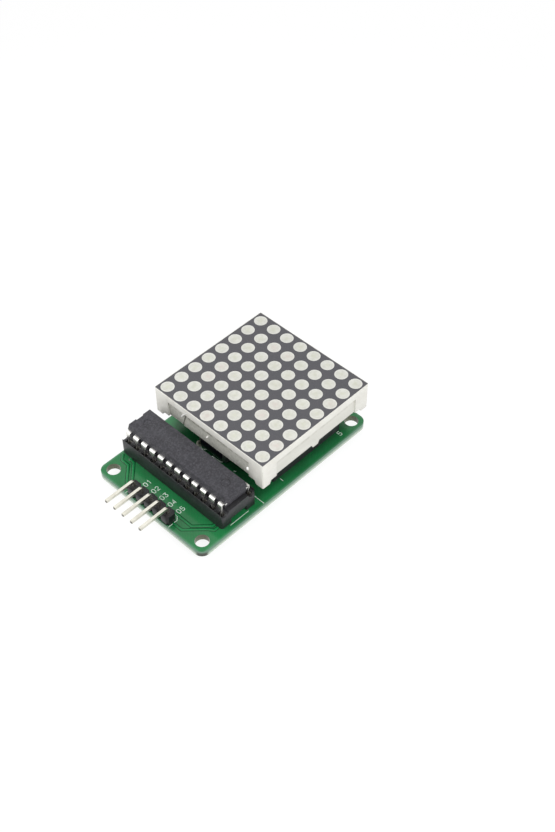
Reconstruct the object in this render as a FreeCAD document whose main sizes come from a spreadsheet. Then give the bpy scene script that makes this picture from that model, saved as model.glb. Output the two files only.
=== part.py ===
import FreeCAD, Part
import os
import Sketcher

# LED dot matrix display module: an 8 by 8 dot matrix plugged into two socket strips on a
# driver board, with the driver chip in its socket and a bent pin header at one end.
# Millimetres. The origin is the centre of the board's underside, +X runs from the pin header
# to the far end of the matrix, and +Z is up through the face of the matrix.

# The driving dimensions: name, value and what it measures.
SIZES = [
    ("board_thick", 1.6, "thickness of the circuit board"),
    ("board_corner", 2.0, "radius of the board's corners"),
    ("mount_inset", 2.5, "mounting hole centre to each board edge"),
    ("mount_hole_dia", 3.1, "mounting hole, clears an M3 screw"),
    ("pin_pitch", 2.54, "pitch of every pin row"),
    ("solder_hole_dia", 1.0, "plated hole of a pin or lead"),
    ("tail_below", 1.4, "how far pins and leads reach below the board"),
    ("solder_height", 1.0, "height of a solder joint"),
    ("solder_foot_dia", 1.7, "solder joint at the board"),
    ("solder_top_dia", 0.9, "solder joint at its tip"),
    ("matrix_edge_gap", 0.5, "matrix face to the board's far edge"),
    ("matrix_corner", 0.4, "radius of the case's upright edges"),
    ("dot_pitch", 4.0, "pitch of the dots"),
    ("dots_per_side", 8, "dots along each side"),
    ("dot_dia", 3.0, "dot at the face"),
    ("dot_margin", 0.5, "outermost dots to the case's edge"),
    ("well_floor_dia", 2.2, "light well at the substrate"),
    ("face_plate", 3.0, "depth of the light wells"),
    ("potting_depth", 5.0, "face to the underside of the potting"),
    ("skirt", 1.0, "case wall below the potting"),
    ("foot_height", 0.9, "corner feet and middle tabs below the wall"),
    ("foot_root", 2.4, "corner foot's width at the wall"),
    ("foot_tip", 2.0, "corner foot's width at its tip"),
    ("tab_root", 2.3, "middle tab's width at the wall"),
    ("tab_tip", 1.5, "middle tab's width at its tip"),
    ("case_wall", 1.2, "thickness of the case wall"),
    ("lip_height", 1.8, "plain band under the face"),
    ("panel_recess", 0.35, "depth of the side panels"),
    ("panel_end", 4.0, "corner to the start of a side panel"),
    ("panel_step", 0.15, "further depth of the stepped panel end"),
    ("panel_step_run", 4.4, "length of the stepped panel end"),
    ("potting_film", 0.15, "potting between face plate and substrate"),
    ("substrate_thick", 1.0, "thickness of the substrate"),
    ("substrate_gap", 0.25, "substrate edge to the case wall"),
    ("die_side", 0.35, "side of a light emitting die"),
    ("die_height", 0.12, "height of a die"),
    ("row_inset", 4.0, "pin row of the matrix to the case's edge"),
    ("pins_per_row", 8, "pins in a row of the matrix"),
    ("matrix_pin_dia", 0.5, "pin of the matrix"),
    ("matrix_pin_reach", 4.6, "pin below the potting"),
    ("strip_height", 7.0, "height of a socket strip"),
    ("strip_width", 2.5, "width of a socket strip"),
    ("strip_lid", 0.6, "top of a socket strip over its cells"),
    ("strip_entry", 0.9, "square entry of a cell"),
    ("cell_length", 2.0, "cell along the strip"),
    ("cell_width", 1.2, "cell across the strip"),
    ("strip_end", 0.1, "strip beyond its last pitch"),
    ("spring_thick", 0.2, "sheet of the spring contacts"),
    ("spring_gap", 0.02, "contact to pin or lead"),
    ("fork_width", 0.6, "width of a strip contact"),
    ("tail_width", 0.46, "width of a contact's tail"),
    ("chip_pins", 12, "leads along one side of the chip"),
    ("chip_rows", 7.62, "between the two lead rows"),
    ("chip_overhang", 0.63, "chip's body beyond the middle of its last leads"),
    ("chip_width", 6.4, "width of the chip at its parting line"),
    ("chip_height", 3.2, "height of the chip's body"),
    ("chip_draft", 0.28, "how far the top and bottom are drawn in"),
    ("chip_seat", 0.4, "chip's underside over the socket"),
    ("chip_notch", 1.0, "radius of the end notch"),
    ("chip_notch_depth", 0.45, "depth of the end notch"),
    ("chip_dimple", 1.0, "radius of the dimple beside the notch"),
    ("chip_dimple_inset", 2.9, "middle of the dimple to the end of the chip"),
    ("chip_dimple_depth", 0.12, "depth of the dimple"),
    ("lead_thick", 0.25, "sheet of the leads"),
    ("lead_wide", 1.5, "lead at its shoulder"),
    ("lead_narrow", 0.46, "lead below its shoulder"),
    ("lead_drop", 1.2, "wide part of a lead below the parting line"),
    ("lead_taper", 0.35, "chamfer where a lead narrows"),
    ("lead_bend", 0.25, "inner radius of a lead's bend"),
    ("end_lead_trim", 0.35, "end leads are narrower on their outer side"),
    ("lead_embed", 0.5, "lead inside the chip's body"),
    ("lead_plunge", 2.8, "lead below the top of its socket"),
    ("socket_width", 9.8, "width of the chip socket"),
    ("socket_height", 4.2, "height of the chip socket"),
    ("socket_end_trim", 0.08, "socket shorter than its pitches"),
    ("socket_corner", 0.7, "radius of the socket's corners"),
    ("socket_trough", 1.0, "radius of the trough along a rail's top"),
    ("rail_width", 2.7, "width of a socket rail"),
    ("end_bar", 1.4, "end bar of the socket"),
    ("middle_bar", 2.2, "middle bar of the socket"),
    ("bar_lift", 1.4, "end bars above the board"),
    ("socket_notch", 1.5, "radius of the notch in the socket's end bar"),
    ("socket_notch_depth", 0.8, "depth of that notch"),
    ("window_side", 1.3, "square window of a contact"),
    ("contact_width", 1.2, "width of a socket contact"),
    ("contact_lift", 0.6, "base of a socket contact over the board"),
    ("matrix_gap", 0.6, "chip socket to the matrix, seen from above"),
    ("label_strip", 4.43, "printed strip between header and chip socket"),
    ("header_edge", 0.13, "header to the board's near edge"),
    ("chip_shift", 0.7, "chip off the board's centre line"),
    ("header_shift", 0.4, "header off the board's centre line"),
    ("header_pins", 5, "pins of the header"),
    ("header_height", 2.5, "height of the header's body"),
    ("header_notch", 0.5, "chamfer between the header's segments"),
    ("pin_side", 0.64, "side of a square header pin"),
    ("pin_rise", 1.3, "pin axis over the header's body"),
    ("pin_overhang", 6.1, "pin tip beyond the board's edge"),
    ("pin_bend", 0.25, "inner radius of a header pin's bend"),
    ("pin_chamfer", 0.15, "chamfer of a header pin's tip"),
    ("lead_wire_dia", 0.5, "wire of the small parts"),
    ("can_dia", 5.0, "smoothing capacitor over its sleeve"),
    ("can_length", 7.0, "length of the smoothing capacitor"),
    ("sleeve_thick", 0.1, "plastic sleeve of the capacitor"),
    ("bung_dia", 4.0, "rubber bung in the capacitor's open end"),
    ("bung_depth", 1.0, "depth of the bung"),
    ("crimp_depth", 0.25, "depth of the crimp round the can"),
    ("can_lead_spacing", 2.0, "between the capacitor's two leads"),
    ("can_lead_run", 1.4, "capacitor lead out to its bend"),
    ("can_from_centre", 12.2, "capacitor to the matrix's centre"),
    ("can_shift", 0.6, "capacitor's middle off the centre line"),
    ("resistor_length", 6.3, "length of the resistor's body"),
    ("resistor_dia", 2.3, "resistor at its end caps"),
    ("resistor_waist", 1.9, "resistor between its caps"),
    ("resistor_cap", 1.4, "length of a resistor's end cap"),
    ("resistor_span", 10.16, "between the resistor's holes"),
    ("resistor_from_centre", 5.0, "resistor to the matrix's centre"),
    ("disc_dia", 4.4, "ceramic capacitor's disc"),
    ("disc_thick", 2.0, "thickness of the disc"),
    ("disc_lift", 0.6, "disc above the board"),
    ("disc_embed", 0.9, "disc's leads inside it"),
]

doc = FreeCAD.newDocument("led_dot_matrix")
sheet = doc.addObject("Spreadsheet::Sheet", "Sizes")
for row, (alias, value, meaning) in enumerate(SIZES, start=1):
    sheet.set(f"A{row}", alias)
    sheet.set(f"B{row}", str(value))
    sheet.set(f"C{row}", meaning)
    sheet.setAlias(f"B{row}", alias)
doc.recompute()


class Names(dict):
    """Turns {word} in a formula into the sheet's cell of that name."""

    def __missing__(self, key):
        return f"Sizes.{key}"


NAMES = Names()


def cell(text):
    """A formula with each {name} written as a reference to the sheet."""
    return text.format_map(NAMES)


# Sizes that follow from others, used by name as the sheet's own are.
NAMES["matrix_side"] = cell(
    "(({dots_per_side} - 1) * {dot_pitch} + {dot_dia} + 2 * {dot_margin})"
)
NAMES["row_spacing"] = cell("({matrix_side} - 2 * {row_inset})")
NAMES["chip_length"] = cell("(({chip_pins} - 1) * {pin_pitch} + 2 * {chip_overhang})")


# Places worked out from the sizes above, as formulas.
BOARD_LENGTH = cell(
    "({matrix_edge_gap} + {matrix_side} + {matrix_gap} + {socket_width} + {label_strip}"
    " + {pin_pitch} + {header_edge})"
)
BOARD_WIDTH = cell("{matrix_side}")
MATRIX_X = cell(f"({BOARD_LENGTH} / 2 - {{matrix_edge_gap}} - {{matrix_side}} / 2)")
MATRIX_TOP = cell("({board_thick} + {strip_height} + {potting_depth})")
WALL_DEPTH = cell("({potting_depth} + {skirt})")
CASE_DEPTH = cell(f"({WALL_DEPTH} + {{foot_height}})")
CHIP_X = cell(f"({MATRIX_X} - {{matrix_side}} / 2 - {{matrix_gap}} - {{socket_width}} / 2)")
HEADER_X = cell(f"(-{BOARD_LENGTH} / 2 + {{header_edge}} + {{pin_pitch}} / 2)")
SUBSTRATE_TOP = cell("({face_plate} + {potting_film})")
SUBSTRATE_BACK = cell(f"({SUBSTRATE_TOP} + {{substrate_thick}})")
PARTING = cell("({socket_height} + {chip_seat} + {chip_height} / 2)")
SOCKET_LENGTH = cell("({chip_pins} * {pin_pitch} - {socket_end_trim})")
CAN_X = cell(f"({MATRIX_X} - {{can_from_centre}})")
CAN_LEAD_Y = cell("({can_shift} + {can_length} / 2 + {can_lead_run})")
RESISTOR_X = cell(f"({MATRIX_X} - {{resistor_from_centre}})")
DISC_X = MATRIX_X


def number(name):
    """A size read from the sheet."""
    return float(sheet.get(name))


def place_of(formula):
    """The value of a formula of the sheet's sizes."""
    return float(sheet.evalExpression(cell(formula)))


def new_body(label, x="0", y="0", z="0", turn=0.0, compound=False):
    """A body with a label of its own, placed by three formulas and turned about Z."""
    body = doc.addObject("PartDesign::Body", label)
    body.Label = label
    body.AllowCompound = compound
    body.Placement = FreeCAD.Placement(
        FreeCAD.Vector(), FreeCAD.Rotation(FreeCAD.Vector(0, 0, 1), turn)
    )
    for axis, formula in zip("xyz", (x, y, z)):
        body.setExpression(f"Placement.Base.{axis}", cell(formula))
    return body


def origin_part(body, role):
    """One of the body's own origin planes or axes."""
    return next(part for part in body.Origin.OriginFeatures if part.Role == role)


def sketch_on(body, plane, x="0", y="0", z="0"):
    """A sketch on an origin plane of the body, shifted by formulas in its own axes."""
    sketch = body.newObject("Sketcher::SketchObject", "Sketch")
    sketch.AttachmentSupport = [(origin_part(body, plane), "")]
    sketch.MapMode = "FlatFace"
    for axis, formula in zip("xyz", (x, y, z)):
        sketch.setExpression(f"AttachmentOffset.Base.{axis}", cell(formula))
    return sketch


def bind(sketch, constraint, formula):
    """Adds a constraint and binds its value to a formula."""
    index = sketch.addConstraint(constraint)
    sketch.setExpression(f"Constraints[{index}]", formula)


def outline(sketch, points):
    """A closed outline whose corners are given by pairs of formulas."""
    formulas = [(cell(x), cell(y)) for x, y in points]
    corners = [
        FreeCAD.Vector(float(sketch.evalExpression(x)), float(sketch.evalExpression(y)), 0)
        for x, y in formulas
    ]
    first = sketch.GeometryCount
    count = len(corners)
    for i in range(count):
        sketch.addGeometry(Part.LineSegment(corners[i], corners[(i + 1) % count]))
    for i in range(count):
        after = first + (i + 1) % count
        sketch.addConstraint(Sketcher.Constraint("Coincident", first + i, 2, after, 1))
    for i, (x, y) in enumerate(formulas):
        corner = corners[i]
        line = first + i
        bind(sketch, Sketcher.Constraint("DistanceX", -1, 1, line, 1, corner.x), x)
        bind(sketch, Sketcher.Constraint("DistanceY", -1, 1, line, 1, corner.y), y)


def rectangle(sketch, width, height):
    """A rectangle centred on the sketch's origin."""
    right = f"({width}) / 2"
    top = f"({height}) / 2"
    outline(sketch, [(f"-{right}", f"-{top}"), (right, f"-{top}"),
                     (right, top), (f"-{right}", top)])


def circle(sketch, diameter):
    """A circle centred on the sketch's origin."""
    formula = cell(f"({diameter}) / 2")
    radius = float(sketch.evalExpression(formula))
    index = sketch.addGeometry(Part.Circle(FreeCAD.Vector(), FreeCAD.Vector(0, 0, 1), radius))
    sketch.addConstraint(Sketcher.Constraint("Coincident", index, 3, -1, 1))
    bind(sketch, Sketcher.Constraint("Radius", index, radius), formula)


def pad(body, sketch, length, up=True, midplane=False):
    """Adds material along the sketch's normal, or against it."""
    feature = body.newObject("PartDesign::Pad", "Pad")
    feature.Profile = sketch
    feature.setExpression("Length", cell(length))
    feature.Reversed = not up
    feature.Midplane = midplane
    body.Tip = feature
    return feature


def pocket(body, sketch, length, up=False, midplane=False):
    """Cuts against the sketch's normal, or along it."""
    feature = body.newObject("PartDesign::Pocket", "Pocket")
    feature.Profile = sketch
    feature.setExpression("Length", cell(length))
    feature.Reversed = up
    feature.Midplane = midplane
    body.Tip = feature
    return feature


def revolve(body, sketch, axis):
    """Turns a half section through a full turn about the sketch's own axis."""
    feature = body.newObject("PartDesign::Revolution", "Revolution")
    feature.Profile = sketch
    feature.ReferenceAxis = (sketch, [axis])
    feature.Angle = 360
    body.Tip = feature
    return feature


def cone(body, kind, foot, tip, height, z):
    """A cone on the body's Z axis, from one diameter at z to another above it."""
    feature = body.newObject(f"PartDesign::{kind}Cone", "Cone")
    feature.AttachmentSupport = [(origin_part(body, "XY_Plane"), "")]
    feature.MapMode = "FlatFace"
    feature.setExpression("Radius1", cell(f"{foot} / 2"))
    feature.setExpression("Radius2", cell(f"{tip} / 2"))
    feature.setExpression("Height", cell(height))
    feature.setExpression("AttachmentOffset.Base.z", cell(z))
    body.Tip = feature
    return feature


def repeat(body, originals, first, second=None):
    """Repeats features along one or two axes: each is (axis, spacing, count)."""
    pattern = body.newObject("PartDesign::LinearPattern", "Pattern")
    pattern.Originals = originals
    for suffix, run in (("", first), ("2", second)):
        if run is None:
            continue
        axis, spacing, count = run
        setattr(pattern, f"Direction{suffix}", (origin_part(body, f"{axis}_Axis"), [""]))
        setattr(pattern, f"Mode{suffix}", "Extent")
        pattern.setExpression(f"Length{suffix}", cell(f"({spacing}) * (({count}) - 1)"))
        pattern.setExpression(f"Occurrences{suffix}", cell(str(count)))
    body.Tip = pattern
    return pattern


def half_run(spacing, count):
    """Formula for half the length of an evenly spaced row."""
    return f"(({count}) - 1) * ({spacing}) / 2"


def edges_where(feature, test):
    """Names of the edges of a feature that pass a test on the edge."""
    doc.recompute()
    edges = feature.Shape.Edges
    return [f"Edge{i}" for i, edge in enumerate(edges, start=1) if test(edge)]


def runs_along(edge, axis):
    """True for a straight edge along x, y or z."""
    ends = [vertex.Point for vertex in edge.Vertexes]
    if len(ends) != 2 or edge.Curve.TypeId != "Part::GeomLine":
        return False
    along = abs(getattr(ends[1] - ends[0], axis))
    return along > 0.999 * edge.Length


def round_edges(body, feature, names, radius):
    """Fillets named edges of the feature."""
    fillet = body.newObject("PartDesign::Fillet", "Fillet")
    fillet.Base = (feature, names)
    fillet.setExpression("Radius", cell(radius))
    body.Tip = fillet
    return fillet


def bevel_edges(body, feature, names, size):
    """Chamfers named edges of the feature."""
    chamfer = body.newObject("PartDesign::Chamfer", "Chamfer")
    chamfer.Base = (feature, names)
    chamfer.setExpression("Size", cell(size))
    body.Tip = chamfer
    return chamfer


def board_holes(body, x, y, first, second=None, diameter="{solder_hole_dia}"):
    """A centred row or grid of round holes through the board."""
    shift_x, shift_y = x, y
    for axis, spacing, count in [run for run in (first, second) if run]:
        if axis == "X":
            shift_x = f"{shift_x} - {half_run(spacing, count)}"
        else:
            shift_y = f"{shift_y} - {half_run(spacing, count)}"
    sketch = sketch_on(body, "XY_Plane", shift_x, shift_y)
    circle(sketch, diameter)
    hole = pocket(body, sketch, "{board_thick}", up=True)
    repeat(body, [hole], first, second)


def make_board():
    """The circuit board with its mounting holes and every plated hole."""
    body = new_body("board")
    sketch = sketch_on(body, "XY_Plane")
    rectangle(sketch, BOARD_LENGTH, BOARD_WIDTH)
    slab = pad(body, sketch, "{board_thick}")
    corners = edges_where(slab, lambda edge: runs_along(edge, "z"))
    round_edges(body, slab, corners, "{board_corner}")
    board_holes(body, "0", "0", ("X", f"{BOARD_LENGTH} - 2 * {{mount_inset}}", 2),
                ("Y", f"{BOARD_WIDTH} - 2 * {{mount_inset}}", 2), "{mount_hole_dia}")
    board_holes(body, HEADER_X, "{header_shift}", ("Y", "{pin_pitch}", "{header_pins}"))
    board_holes(body, f"-{HEADER_X}", "{header_shift}", ("Y", "{pin_pitch}", "{header_pins}"))
    board_holes(body, CHIP_X, "{chip_shift}", ("Y", "{pin_pitch}", "{chip_pins}"),
                ("X", "{chip_rows}", 2))
    board_holes(body, MATRIX_X, "0", ("X", "{pin_pitch}", "{pins_per_row}"),
                ("Y", "{row_spacing}", 2))
    board_holes(body, CAN_X, CAN_LEAD_Y, ("X", "{can_lead_spacing}", 2))
    board_holes(body, RESISTOR_X, "0", ("Y", "{resistor_span}", 2))
    board_holes(body, DISC_X, "0", ("Y", "{pin_pitch}", 2))


def window(half_root, half_tip, top, bottom):
    """Outline of a gap that narrows from its root to its tip, open below."""
    return [(f"-({half_root})", f"-{top}"), (half_root, f"-{top}"),
            (half_tip, f"-{bottom}"), (f"-({half_tip})", f"-{bottom}")]


def make_matrix_case():
    """White case: light wells, plain lip, recessed side panels, corner feet and middle tabs."""
    body = new_body("matrix_case", MATRIX_X, "0", MATRIX_TOP)
    sketch = sketch_on(body, "XY_Plane")
    rectangle(sketch, "{matrix_side}", "{matrix_side}")
    block = pad(body, sketch, CASE_DEPTH, up=False)
    corners = edges_where(block, lambda edge: runs_along(edge, "z"))
    round_edges(body, block, corners, "{matrix_corner}")

    sketch = sketch_on(body, "XY_Plane", z="-{face_plate}")
    rectangle(sketch, "{matrix_side} - 2 * {case_wall}", "{matrix_side} - 2 * {case_wall}")
    pocket(body, sketch, f"{CASE_DEPTH} - {{face_plate}}")

    cut_feet(body)
    cut_side_panels(body)

    shift = half_run("{dot_pitch}", "{dots_per_side}")
    well = cone(body, "Subtractive", "{well_floor_dia}", "{dot_dia}", "{face_plate}",
                "-{face_plate}")
    well.setExpression("AttachmentOffset.Base.x", cell(f"-{shift}"))
    well.setExpression("AttachmentOffset.Base.y", cell(f"-{shift}"))
    repeat(body, [well], ("X", "{dot_pitch}", "{dots_per_side}"),
           ("Y", "{dot_pitch}", "{dots_per_side}"))


def cut_feet(body):
    """Leaves a foot at each corner, and a tab in the middle of the two long-row sides."""
    foot_root = "{matrix_side} / 2 - {foot_root}"
    foot_tip = "{matrix_side} / 2 - {foot_tip}"
    sketch = sketch_on(body, "YZ_Plane")
    outline(sketch, window(foot_root, foot_tip, WALL_DEPTH, CASE_DEPTH))
    pocket(body, sketch, "{matrix_side}", midplane=True)
    sketch = sketch_on(body, "XZ_Plane")
    for side in ("-", ""):
        outline(sketch, [
            (f"{side}{{tab_root}} / 2", f"-{WALL_DEPTH}"),
            (f"{side}{{tab_tip}} / 2", f"-{CASE_DEPTH}"),
            (f"{side}({foot_tip})", f"-{CASE_DEPTH}"),
            (f"{side}({foot_root})", f"-{WALL_DEPTH}"),
        ])
    pocket(body, sketch, "{matrix_side}", midplane=True)


def cut_side_panels(body):
    """Recesses a panel in each side below the lip, deeper at one end of the near side."""
    run = "{matrix_side} - 2 * {panel_end}"
    middle = "{matrix_side} / 2 - {panel_recess} / 2"
    for x, y, width, height in (
        (f"-({middle})", "0", "{panel_recess}", run), (middle, "0", "{panel_recess}", run),
        ("0", f"-({middle})", run, "{panel_recess}"), ("0", middle, run, "{panel_recess}"),
    ):
        sketch = sketch_on(body, "XY_Plane", x, y, "-{lip_height}")
        rectangle(sketch, width, height)
        pocket(body, sketch, f"{CASE_DEPTH} - {{lip_height}}")
    step_depth = "{panel_recess} + {panel_step}"
    sketch = sketch_on(
        body, "XY_Plane", f"-({{matrix_side}} / 2 - ({step_depth}) / 2)",
        "{matrix_side} / 2 - {panel_end} - {panel_step_run} / 2", "-{lip_height}",
    )
    rectangle(sketch, step_depth, "{panel_step_run}")
    pocket(body, sketch, f"{CASE_DEPTH} - {{lip_height}}")


def make_substrate():
    """The matrix's own small board with its grid of light emitting dies."""
    body = new_body("matrix_substrate", MATRIX_X, "0", MATRIX_TOP)
    side = "{matrix_side} - 2 * {case_wall} - 2 * {substrate_gap}"
    sketch = sketch_on(body, "XY_Plane", z=f"-{SUBSTRATE_BACK}")
    rectangle(sketch, side, side)
    pad(body, sketch, "{substrate_thick}")
    shift = f"-{half_run('{dot_pitch}', '{dots_per_side}')}"
    sketch = sketch_on(body, "XY_Plane", shift, shift, f"-{SUBSTRATE_TOP}")
    rectangle(sketch, "{die_side}", "{die_side}")
    die = pad(body, sketch, "{die_height}")
    repeat(body, [die], ("X", "{dot_pitch}", "{dots_per_side}"),
           ("Y", "{dot_pitch}", "{dots_per_side}"))
    return body


def make_potting(substrate, pins):
    """Clear milky potting: fills the wells to the face and seals the substrate behind."""
    body = new_body("potting_form", MATRIX_X, "0", MATRIX_TOP)
    side = "{matrix_side} - 2 * {case_wall}"
    sketch = sketch_on(body, "XY_Plane", z="-{potting_depth}")
    rectangle(sketch, side, side)
    pad(body, sketch, "{potting_depth} - {face_plate}")
    shift = half_run("{dot_pitch}", "{dots_per_side}")
    plug = cone(body, "Additive", "{well_floor_dia}", "{dot_dia}", "{face_plate}",
                "-{face_plate}")
    plug.setExpression("AttachmentOffset.Base.x", cell(f"-{shift}"))
    plug.setExpression("AttachmentOffset.Base.y", cell(f"-{shift}"))
    repeat(body, [plug], ("X", "{dot_pitch}", "{dots_per_side}"),
           ("Y", "{dot_pitch}", "{dots_per_side}"))
    inside = doc.addObject("Part::MultiFuse", "inside_the_potting")
    inside.Shapes = [substrate] + pins
    potting = doc.addObject("Part::Cut", "matrix_potting")
    potting.Label = "matrix_potting"
    potting.Base = body
    potting.Tool = inside
    return potting


def make_matrix_pins():
    """Two rows of round pins, from the substrate down into the socket strips."""
    pins = []
    pins_per_row = int(sheet.get("pins_per_row"))
    for side in (-1, 1):
        for i in range(pins_per_row):
            place = f"({i} - ({{pins_per_row}} - 1) / 2) * {{pin_pitch}}"
            body = new_body(f"matrix_pin_{len(pins) + 1}", f"{MATRIX_X} + {place}",
                            f"{side} * {{row_spacing}} / 2", MATRIX_TOP)
            sketch = sketch_on(body, "XY_Plane", z=f"-{SUBSTRATE_BACK}")
            circle(sketch, "{matrix_pin_dia}")
            pad(body, sketch, f"{{potting_depth}} + {{matrix_pin_reach}} - {SUBSTRATE_BACK}",
                up=False)
            pins.append(body)
    return pins


def make_socket_strip(name, side):
    """Black socket strip that carries one pin row of the matrix."""
    start = half_run("{pin_pitch}", "{pins_per_row}")
    body = new_body(name, MATRIX_X, f"{side} * {{row_spacing}} / 2", "{board_thick}")
    sketch = sketch_on(body, "XY_Plane")
    rectangle(sketch, "{pins_per_row} * {pin_pitch} + 2 * {strip_end}", "{strip_width}")
    pad(body, sketch, "{strip_height}")
    sketch = sketch_on(body, "XY_Plane", f"-{start}")
    rectangle(sketch, "{cell_length}", "{cell_width}")
    inner = pocket(body, sketch, "{strip_height} - {strip_lid}", up=True)
    sketch = sketch_on(body, "XY_Plane", f"-{start}", z="{strip_height}")
    rectangle(sketch, "{strip_entry}", "{strip_entry}")
    entry = pocket(body, sketch, "{strip_lid} * 1.5")
    repeat(body, [inner, entry], ("X", "{pin_pitch}", "{pins_per_row}"))


def make_strip_contacts(name, side):
    """Spring forks of one socket strip, each gripping a matrix pin, with tails to the board."""
    start = half_run("{pin_pitch}", "{pins_per_row}")
    body = new_body(name, f"{MATRIX_X} - {start}", f"{side} * {{row_spacing}} / 2",
                    "{board_thick}", compound=True)
    grip = "{matrix_pin_dia} / 2 + {spring_gap}"
    foot = "{cell_length} / 2 - 0.1"
    low = "{contact_lift}"
    bend = "{contact_lift} + 2 * {spring_thick}"
    pinch = "{strip_height} - {matrix_pin_reach} + 2 * {strip_lid}"
    top = "{strip_height} - 1.5 * {strip_lid}"
    spring = "{spring_thick}"
    sketch = sketch_on(body, "XZ_Plane")
    right = [
        (f"{foot}", low), (f"{foot}", bend), (f"{grip} + {spring}", pinch),
        (f"{foot}", top), (f"{foot} - {spring}", top), (grip, pinch),
        (f"{foot} - {spring}", bend), (f"{foot} - {spring}", f"{low} + {spring}"),
    ]
    outline(sketch, right + [(f"-({x})", z) for x, z in reversed(right)])
    fork = pad(body, sketch, "{fork_width}", midplane=True)
    sketch = sketch_on(body, "XY_Plane", z=low)
    rectangle(sketch, "{tail_width}", "{spring_thick}")
    tail = pad(body, sketch, "{contact_lift} + {board_thick} + {tail_below}", up=False)
    repeat(body, [fork, tail], ("X", "{pin_pitch}", "{pins_per_row}"))


def make_chip():
    """Moulded chip body with drawn-in faces, end notch, dimple and a seat for each lead."""
    body = new_body("chip_body", CHIP_X, "{chip_shift}", "{board_thick}")
    for name, level in (("top", f"{PARTING} + {{chip_height}} / 2"),
                        ("bottom", f"{PARTING} - {{chip_height}} / 2")):
        middle = sketch_on(body, "XY_Plane", z=PARTING)
        rectangle(middle, "{chip_width}", "{chip_length}")
        outer = sketch_on(body, "XY_Plane", z=level)
        rectangle(outer, "{chip_width} - 2 * {chip_draft}", "{chip_length} - 2 * {chip_draft}")
        loft = body.newObject("PartDesign::AdditiveLoft", f"Loft_{name}")
        loft.Profile = middle
        loft.Sections = [outer]
        loft.Ruled = True
        body.Tip = loft
    top = f"{PARTING} + {{chip_height}} / 2"
    sketch = sketch_on(body, "XY_Plane", "0", "{chip_length} / 2 - {chip_draft}", top)
    circle(sketch, "2 * {chip_notch}")
    pocket(body, sketch, "{chip_notch_depth}")
    sketch = sketch_on(body, "XY_Plane", "0", "{chip_length} / 2 - {chip_dimple_inset}", top)
    circle(sketch, "2 * {chip_dimple}")
    pocket(body, sketch, "{chip_dimple_depth}")
    run = half_run("{pin_pitch}", "{chip_pins}")
    across = "{chip_width} - {lead_embed}"
    sketch = sketch_on(body, "XY_Plane", f"-({across}) / 2", f"-{run}",
                       f"{PARTING} - {{lead_thick}} / 2")
    rectangle(sketch, "{lead_embed}", "{lead_wide}")
    seat = pocket(body, sketch, "{lead_thick}", up=True)
    repeat(body, [seat], ("Y", "{pin_pitch}", "{chip_pins}"), ("X", across, 2))


def make_chip_leads(name, side):
    """One row of leads: a wide shoulder out of the body, a bend, and a narrow blade."""
    run = half_run("{pin_pitch}", "{chip_pins}")
    body = new_body(name, f"{CHIP_X} + {side} * {{chip_rows}} / 2",
                    f"{{chip_shift}} - {side} * {run}", "{board_thick}",
                    turn=0.0 if side > 0 else 180.0, compound=True)
    inner = "{chip_width} / 2 - {lead_embed} - {chip_rows} / 2"
    half = "{lead_thick} / 2"
    low = f"{PARTING} - {{lead_drop}}"
    sketch = sketch_on(body, "XZ_Plane")
    outline(sketch, [
        (inner, f"{PARTING} - {half}"), (f"-{half}", f"{PARTING} - {half}"), (f"-{half}", low),
        (half, low), (half, f"{PARTING} + {half}"), (inner, f"{PARTING} + {half}"),
    ])
    shoulder = pad(body, sketch, "{lead_wide}", midplane=True)
    sketch = sketch_on(body, "XY_Plane", z=low)
    rectangle(sketch, "{lead_thick}", "{lead_narrow}")
    blade = pad(body, sketch, f"{low} - {{socket_height}} + {{lead_plunge}}", up=False)
    row = repeat(body, [shoulder, blade], ("Y", "{pin_pitch}", "{chip_pins}"))
    shape_leads(body, row)


def shape_leads(body, row):
    """Rounds the bends, tapers the wide part to the blade and narrows the two end leads."""
    thick = number("lead_thick")
    parting = place_of(PARTING)
    low = f"{PARTING} - {{lead_drop}}"
    bottom = place_of(low)

    def bend_edge(x, z):
        return lambda edge: (runs_along(edge, "y") and abs(edge.CenterOfMass.x - x) < 1e-4
                             and abs(edge.CenterOfMass.z - z) < 1e-4)

    names = edges_where(row, bend_edge(-thick / 2, parting - thick / 2))
    bent = round_edges(body, row, names, "{lead_bend}")
    names = edges_where(bent, bend_edge(thick / 2, parting + thick / 2))
    bent = round_edges(body, bent, names, "{lead_bend} + {lead_thick}")

    def blade_side(y):
        pitch = number("pin_pitch")
        return abs(y - round(y / pitch) * pitch) < number("lead_narrow") / 2 + 1e-4

    def corner_edge(edge):
        return (runs_along(edge, "x") and abs(edge.CenterOfMass.z - bottom) < 1e-4
                and not blade_side(edge.CenterOfMass.y))

    names = edges_where(bent, corner_edge)
    bevel_edges(body, bent, names, "{lead_taper}")
    outside = "{chip_width} / 2 - {chip_rows} / 2"
    reach = f"({{lead_thick}} / 2 - ({outside}))"
    for place in ("-{lead_wide} / 2 + {end_lead_trim} / 2",
                  "({chip_pins} - 1) * {pin_pitch} + {lead_wide} / 2 - {end_lead_trim} / 2"):
        sketch = sketch_on(body, "XY_Plane", f"{outside} + {reach} / 2", place, low)
        rectangle(sketch, reach, "{end_lead_trim}")
        pocket(body, sketch, "{lead_drop} + {lead_thick}", up=True)


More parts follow.
